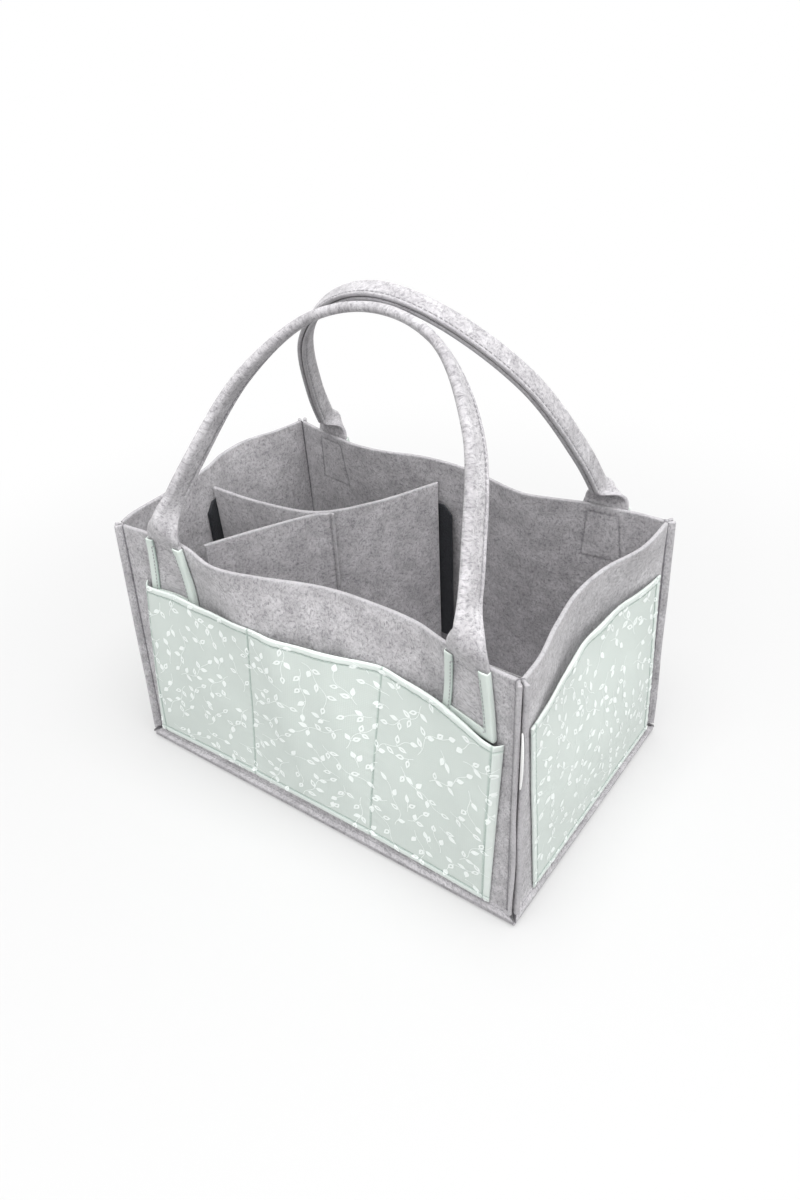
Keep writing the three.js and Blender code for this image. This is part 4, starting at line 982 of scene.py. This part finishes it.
# The handle ends: a plain cotton tape, folded over the sides and the lower end of each flat
# end, and a rectangle of stitches that goes through tape, strap and wall.
binding_width, binding_thickness, binding_overhang, tape_swell, edge_drop = 7.0, 1.2, 0.5, 0.35, 0.9
binding_cotton = cotton_material("plain pale mint cotton tape", "#d0d9d3", "#e2e9e5", "#c7d1cb")
binding_distance = tab_offset + felt_thickness + 2 * seam_gap
outer, foot = strap_width / 2 + binding_overhang, tab_bottom - binding_overhang
inner, tape_end, tape_top = outer - binding_width, foot + binding_width, wall_height - 0.9
for name, handle in handles.items():
    for end, side in enumerate(("left", "right")):

        def tape(across, z, face):
            """On the strap the tape lies on its outer face; past the strap's edge its inner
            face goes down to the wall. Its face swells a little between its two edges."""
            over = smooth(0.25, 0.0, np.minimum(strap_width / 2 - np.abs(across), z - tab_bottom))
            bottom = binding_distance * (1 - over) + tab_offset * over
            from_edge = np.minimum(outer - np.abs(across), z - foot)
            swell = tape_swell * np.sin(np.pi * np.clip(from_edge / binding_width, 0, 1))
            top = binding_distance + binding_thickness + swell - edge_drop * smooth(1.0, 0, from_edge)
            return on_tab(handle, end, across, z, bottom + (top - bottom) * face)

        binding = sheet_piece(
            f"{name}_{side}_tab_tape", lines([-outer, -inner, inner, outer], 1.5),
            lines([foot, tape_end, tape_top], 1.5), tape, binding_cotton,
            lambda c, r: (np.abs(c) > inner) | (r < tape_end), thickness=binding_thickness, edge=0.5,
            marks={"hem": lambda c, r: np.full(c.shape, 0.35),
                   # the crease mark is painted shade along the tape's inner edges, where the strap shows
                   "crease": lambda c, r: np.exp(-np.abs(np.abs(c) - inner) / 0.7) * (r > tape_end)})
        mount(binding, "bag", "binding_cotton", f"{name}_{side}_tab_binding")

        def on_tape(c, r, h):
            over_tape = np.where(np.abs(c) > inner - 0.5, binding_thickness + tape_swell, 0.0)
            return on_tab(handle, end, c, r, binding_distance + over_tape + h)

        def inside(c, r, h):
            return on_wall(handle["wall"], handle["roots"][end] + c + widening(c, r), r, -h)

        x, low, high = ring_half, tab_bottom + tab_stitch_inset, tab_stitch_top
        ring = [((-x, high), (-x, low)), ((-x, low), (x, low)), ((x, low), (x, high)),
                ((x, high), (-x, high))]
        stitch_piece(f"{name}_{side}_tab_stitches",
                     [stitches(ring, on_tape, 0.15, fine_stitch), stitches(ring, inside, 0.05, fine_stitch)],
                     grey_thread, "bag", f"{name}_{side}_tab_thread")

# The divider: a long felt panel from the left wall over the junction to the back wall, and
# a short one from the front left, whose end is turned and sewn to the long one.
divider_top, seam_foot = 184.0, 14.0
junction, left_bend, left_end = (-72.0, 7.0), (-118.0, -4.0), -5.0
back_bend, back_end = (-44.0, 41.0), -20.0
front_bend, front_end = (-92.0, -33.0), (-112.0, -73.0)
divider_flap, flap_lift, lift_gap, lift_width, no_seam = 6.0, 1.3, 0.4, 1.2, -50
strip_width, strip_height, strip_top, strip_thickness, strip_chamfer = 24.0, 128.0, 164.0, 2.0, 8.0
rim_clearance, left_strip_raise = 0.8, 9.0
strip_inset = seam_gap + strip_thickness + seam_gap


def left_end_x(z):
    return -face_at(walls["left"], left_end, np.asarray(z, float)) + strip_inset


back_share = back_end + np.linspace(-0.5, 0.5, 7) * strip_width
back_face = face_at(walls["back"], back_share, wall_height).min() - rim_clearance
back_way = np.array([back_end - back_bend[0], back_face - back_bend[1]])
back_way /= np.linalg.norm(back_way)
back_end_y = back_face - strip_thickness - 2 * seam_gap - felt_thickness / 2 * back_way[0]
long_line, long_lengths = arch_curve([
    (float(left_end_x(0)), left_end), left_bend, junction, back_bend, (back_end, back_end_y)])


def long_place(along, z, height):
    """The long panel; its left end follows the lean of the wall it grips."""
    x, y = beside_line(long_line, long_lengths, along, height)[:2]
    lean = np.maximum(0, 1 - along / long_lengths[-1] * 3) ** 2 * (left_end_x(z) - left_end_x(0))
    return x + lean, y, z


junction_at = long_lengths[np.argmin(np.hypot(*(long_line - np.array(junction)).T))]
flap = [beside_line(long_line, long_lengths, junction_at + k * divider_flap, felt_thickness + seam_gap)[:2]
        for k in (0, 1, 2)]
short_line, short_lengths = arch_curve([front_end, front_bend, *flap])


def short_place(along, z, height):
    return (*beside_line(short_line, short_lengths, along, height)[:2], z)


seam_at = short_lengths[-1] - divider_flap / 2
for name, place, stops, seam, lift_start in (
        ("divider_long", long_place, [0, long_lengths[-1]], no_seam, long_lengths[-1]),
        ("divider_short", short_place, [0, seam_at, short_lengths[-1]], seam_at, seam_at + lift_gap)):
    flap_seam = pulled_in(seam, 0.9, 0.7)

    def standing(along, r, face):
        """Rows are heights on a panel as tall as the divider; each is moved to stand a small
        gap over the base. Past lift_start the sheet stands off a little."""
        x, y, _ = place(along, np.zeros_like(along), np.zeros_like(along))
        low = base_top(x, y) + seam_gap
        lift = flap_lift * smooth(lift_start, lift_start + lift_width, along)
        off = (face - 0.5) * felt_thickness + lift
        return place(along, low + (divider_top - low) * r / divider_top, off)

    panel_piece = sheet_piece(
        f"{name}_felt", lines(stops, felt_step, (0.4, 0.8, 1.2, 1.6)),
        lines([0, divider_top], felt_step), standing, felt, thin=lambda c, r: flap_seam(c))
    mount(panel_piece, "divider", "felt", f"{name}_panel")
rows = stitches([((seam_at, seam_foot), (seam_at, divider_top - 1))],
                lambda c, r, h: short_place(c, r, felt_thickness * 0.35 + h), 0.2, plain_stitch)
stitch_piece("divider_stitches", [rows], grey_thread, "divider", "divider_seam_thread")

# The grips: flat strips of black nylon hook tape across the three ends of the divider, with
# their top corners cut off. Their hooks, about 1 mm apart, hold in the felt of the walls.
hook_tape, tree = new_material("black woven nylon hook tape")
hooks = add(tree, "TexVoronoi", {"Scale": 850.0, "Randomness": 0.55,
                                 "Vector": add(tree, "TexCoord", {}, "Object")}, "Distance")
surface(tree, mixed(tree, hooks, "#2a2d33", "#101216"),
        {"Roughness": 0.62, "Specular IOR Level": 0.35, "Sheen Weight": 0.1},
        {"Strength": 0.9, "Distance": 0.0006, "invert": True, "Height": hooks})


def front_strip(s, z, depth):
    way = short_line[1] - short_line[0]
    way /= np.linalg.norm(way)
    behind = seam_gap + strip_thickness - depth
    return front_end[0] - way[0] * behind + way[1] * s, front_end[1] - way[1] * behind - way[0] * s, z


strip_places = {
    "left": lambda s, z, depth: on_wall(walls["left"], left_end + s, z + left_strip_raise,
                                        -seam_gap - depth),
    "back": lambda s, z, depth: (back_end + s, back_face - depth, z),
    "front": front_strip,
}
half, low = strip_width / 2, strip_top - strip_height
for name, place in strip_places.items():

    def strip(s, r, face):
        """Rows are heights; near either side the top is cut off at 45 degrees."""
        top = strip_top - np.maximum(np.abs(s) - (half - strip_chamfer), 0)
        return place(s, low + (top - low) * r / strip_height, face * strip_thickness)

    tape_piece = sheet_piece(
        f"{name}_hook_tape", lines([-half, -half + strip_chamfer, half - strip_chamfer, half], 2.0, (0.4,)),
        lines([0, strip_height], 2.5, (0.4, 1.0)), strip, hook_tape, thickness=strip_thickness, edge=0.5)
    mount(tape_piece, "divider", "hook_tape", f"{name}_hook_strip")

# The label: a short length of plain white woven tape, folded once and caught in the front
# right corner seam. It is blank.
label_bottom, label_height, label_reach, label_thickness = 124.0, 43.0, 3.2, 0.8
label_tape, tree = new_material("plain white woven polyester tape")
rib = add(tree, "TexWave",
          {"Scale": 200.0, "bands_direction": "Y", "Vector": own(tree, "flat", "Vector")}, "Fac")
surface(tree, mixed(tree, rib, "#f0f0ee", "#fbfbfa"), {"Roughness": 0.55, "Sheen Weight": 0.1},
        {"Strength": 0.3, "Distance": 0.0001, "Height": rib})


def label_place(c, r, face):
    """Out of the seam by c times a shallow arch over its height, and thickest in the middle
    of its fold."""
    swell = 0.25 + 1.15 * np.sin(np.pi * np.clip(r / label_height, 0, 1)) ** 0.7
    along = corner_flange + seam_gap + c * swell
    across = (face - 0.5) * label_thickness
    z = label_bottom + r
    return (inner_at(walls["right"], z) + (along - across) * diagonal,
            -inner_at(walls["front"], z) - (along + across) * diagonal, z)


label = sheet_piece(
    "corner_label_tape", lines([0, label_reach], 0.5, (0.2,)), lines([0, label_height], 2, (0.4,)),
    label_place, label_tape, thickness=label_thickness, edge=0.3)
mount(label, "bag", "label_tape", "corner_label")

bpy.context.view_layer.update()
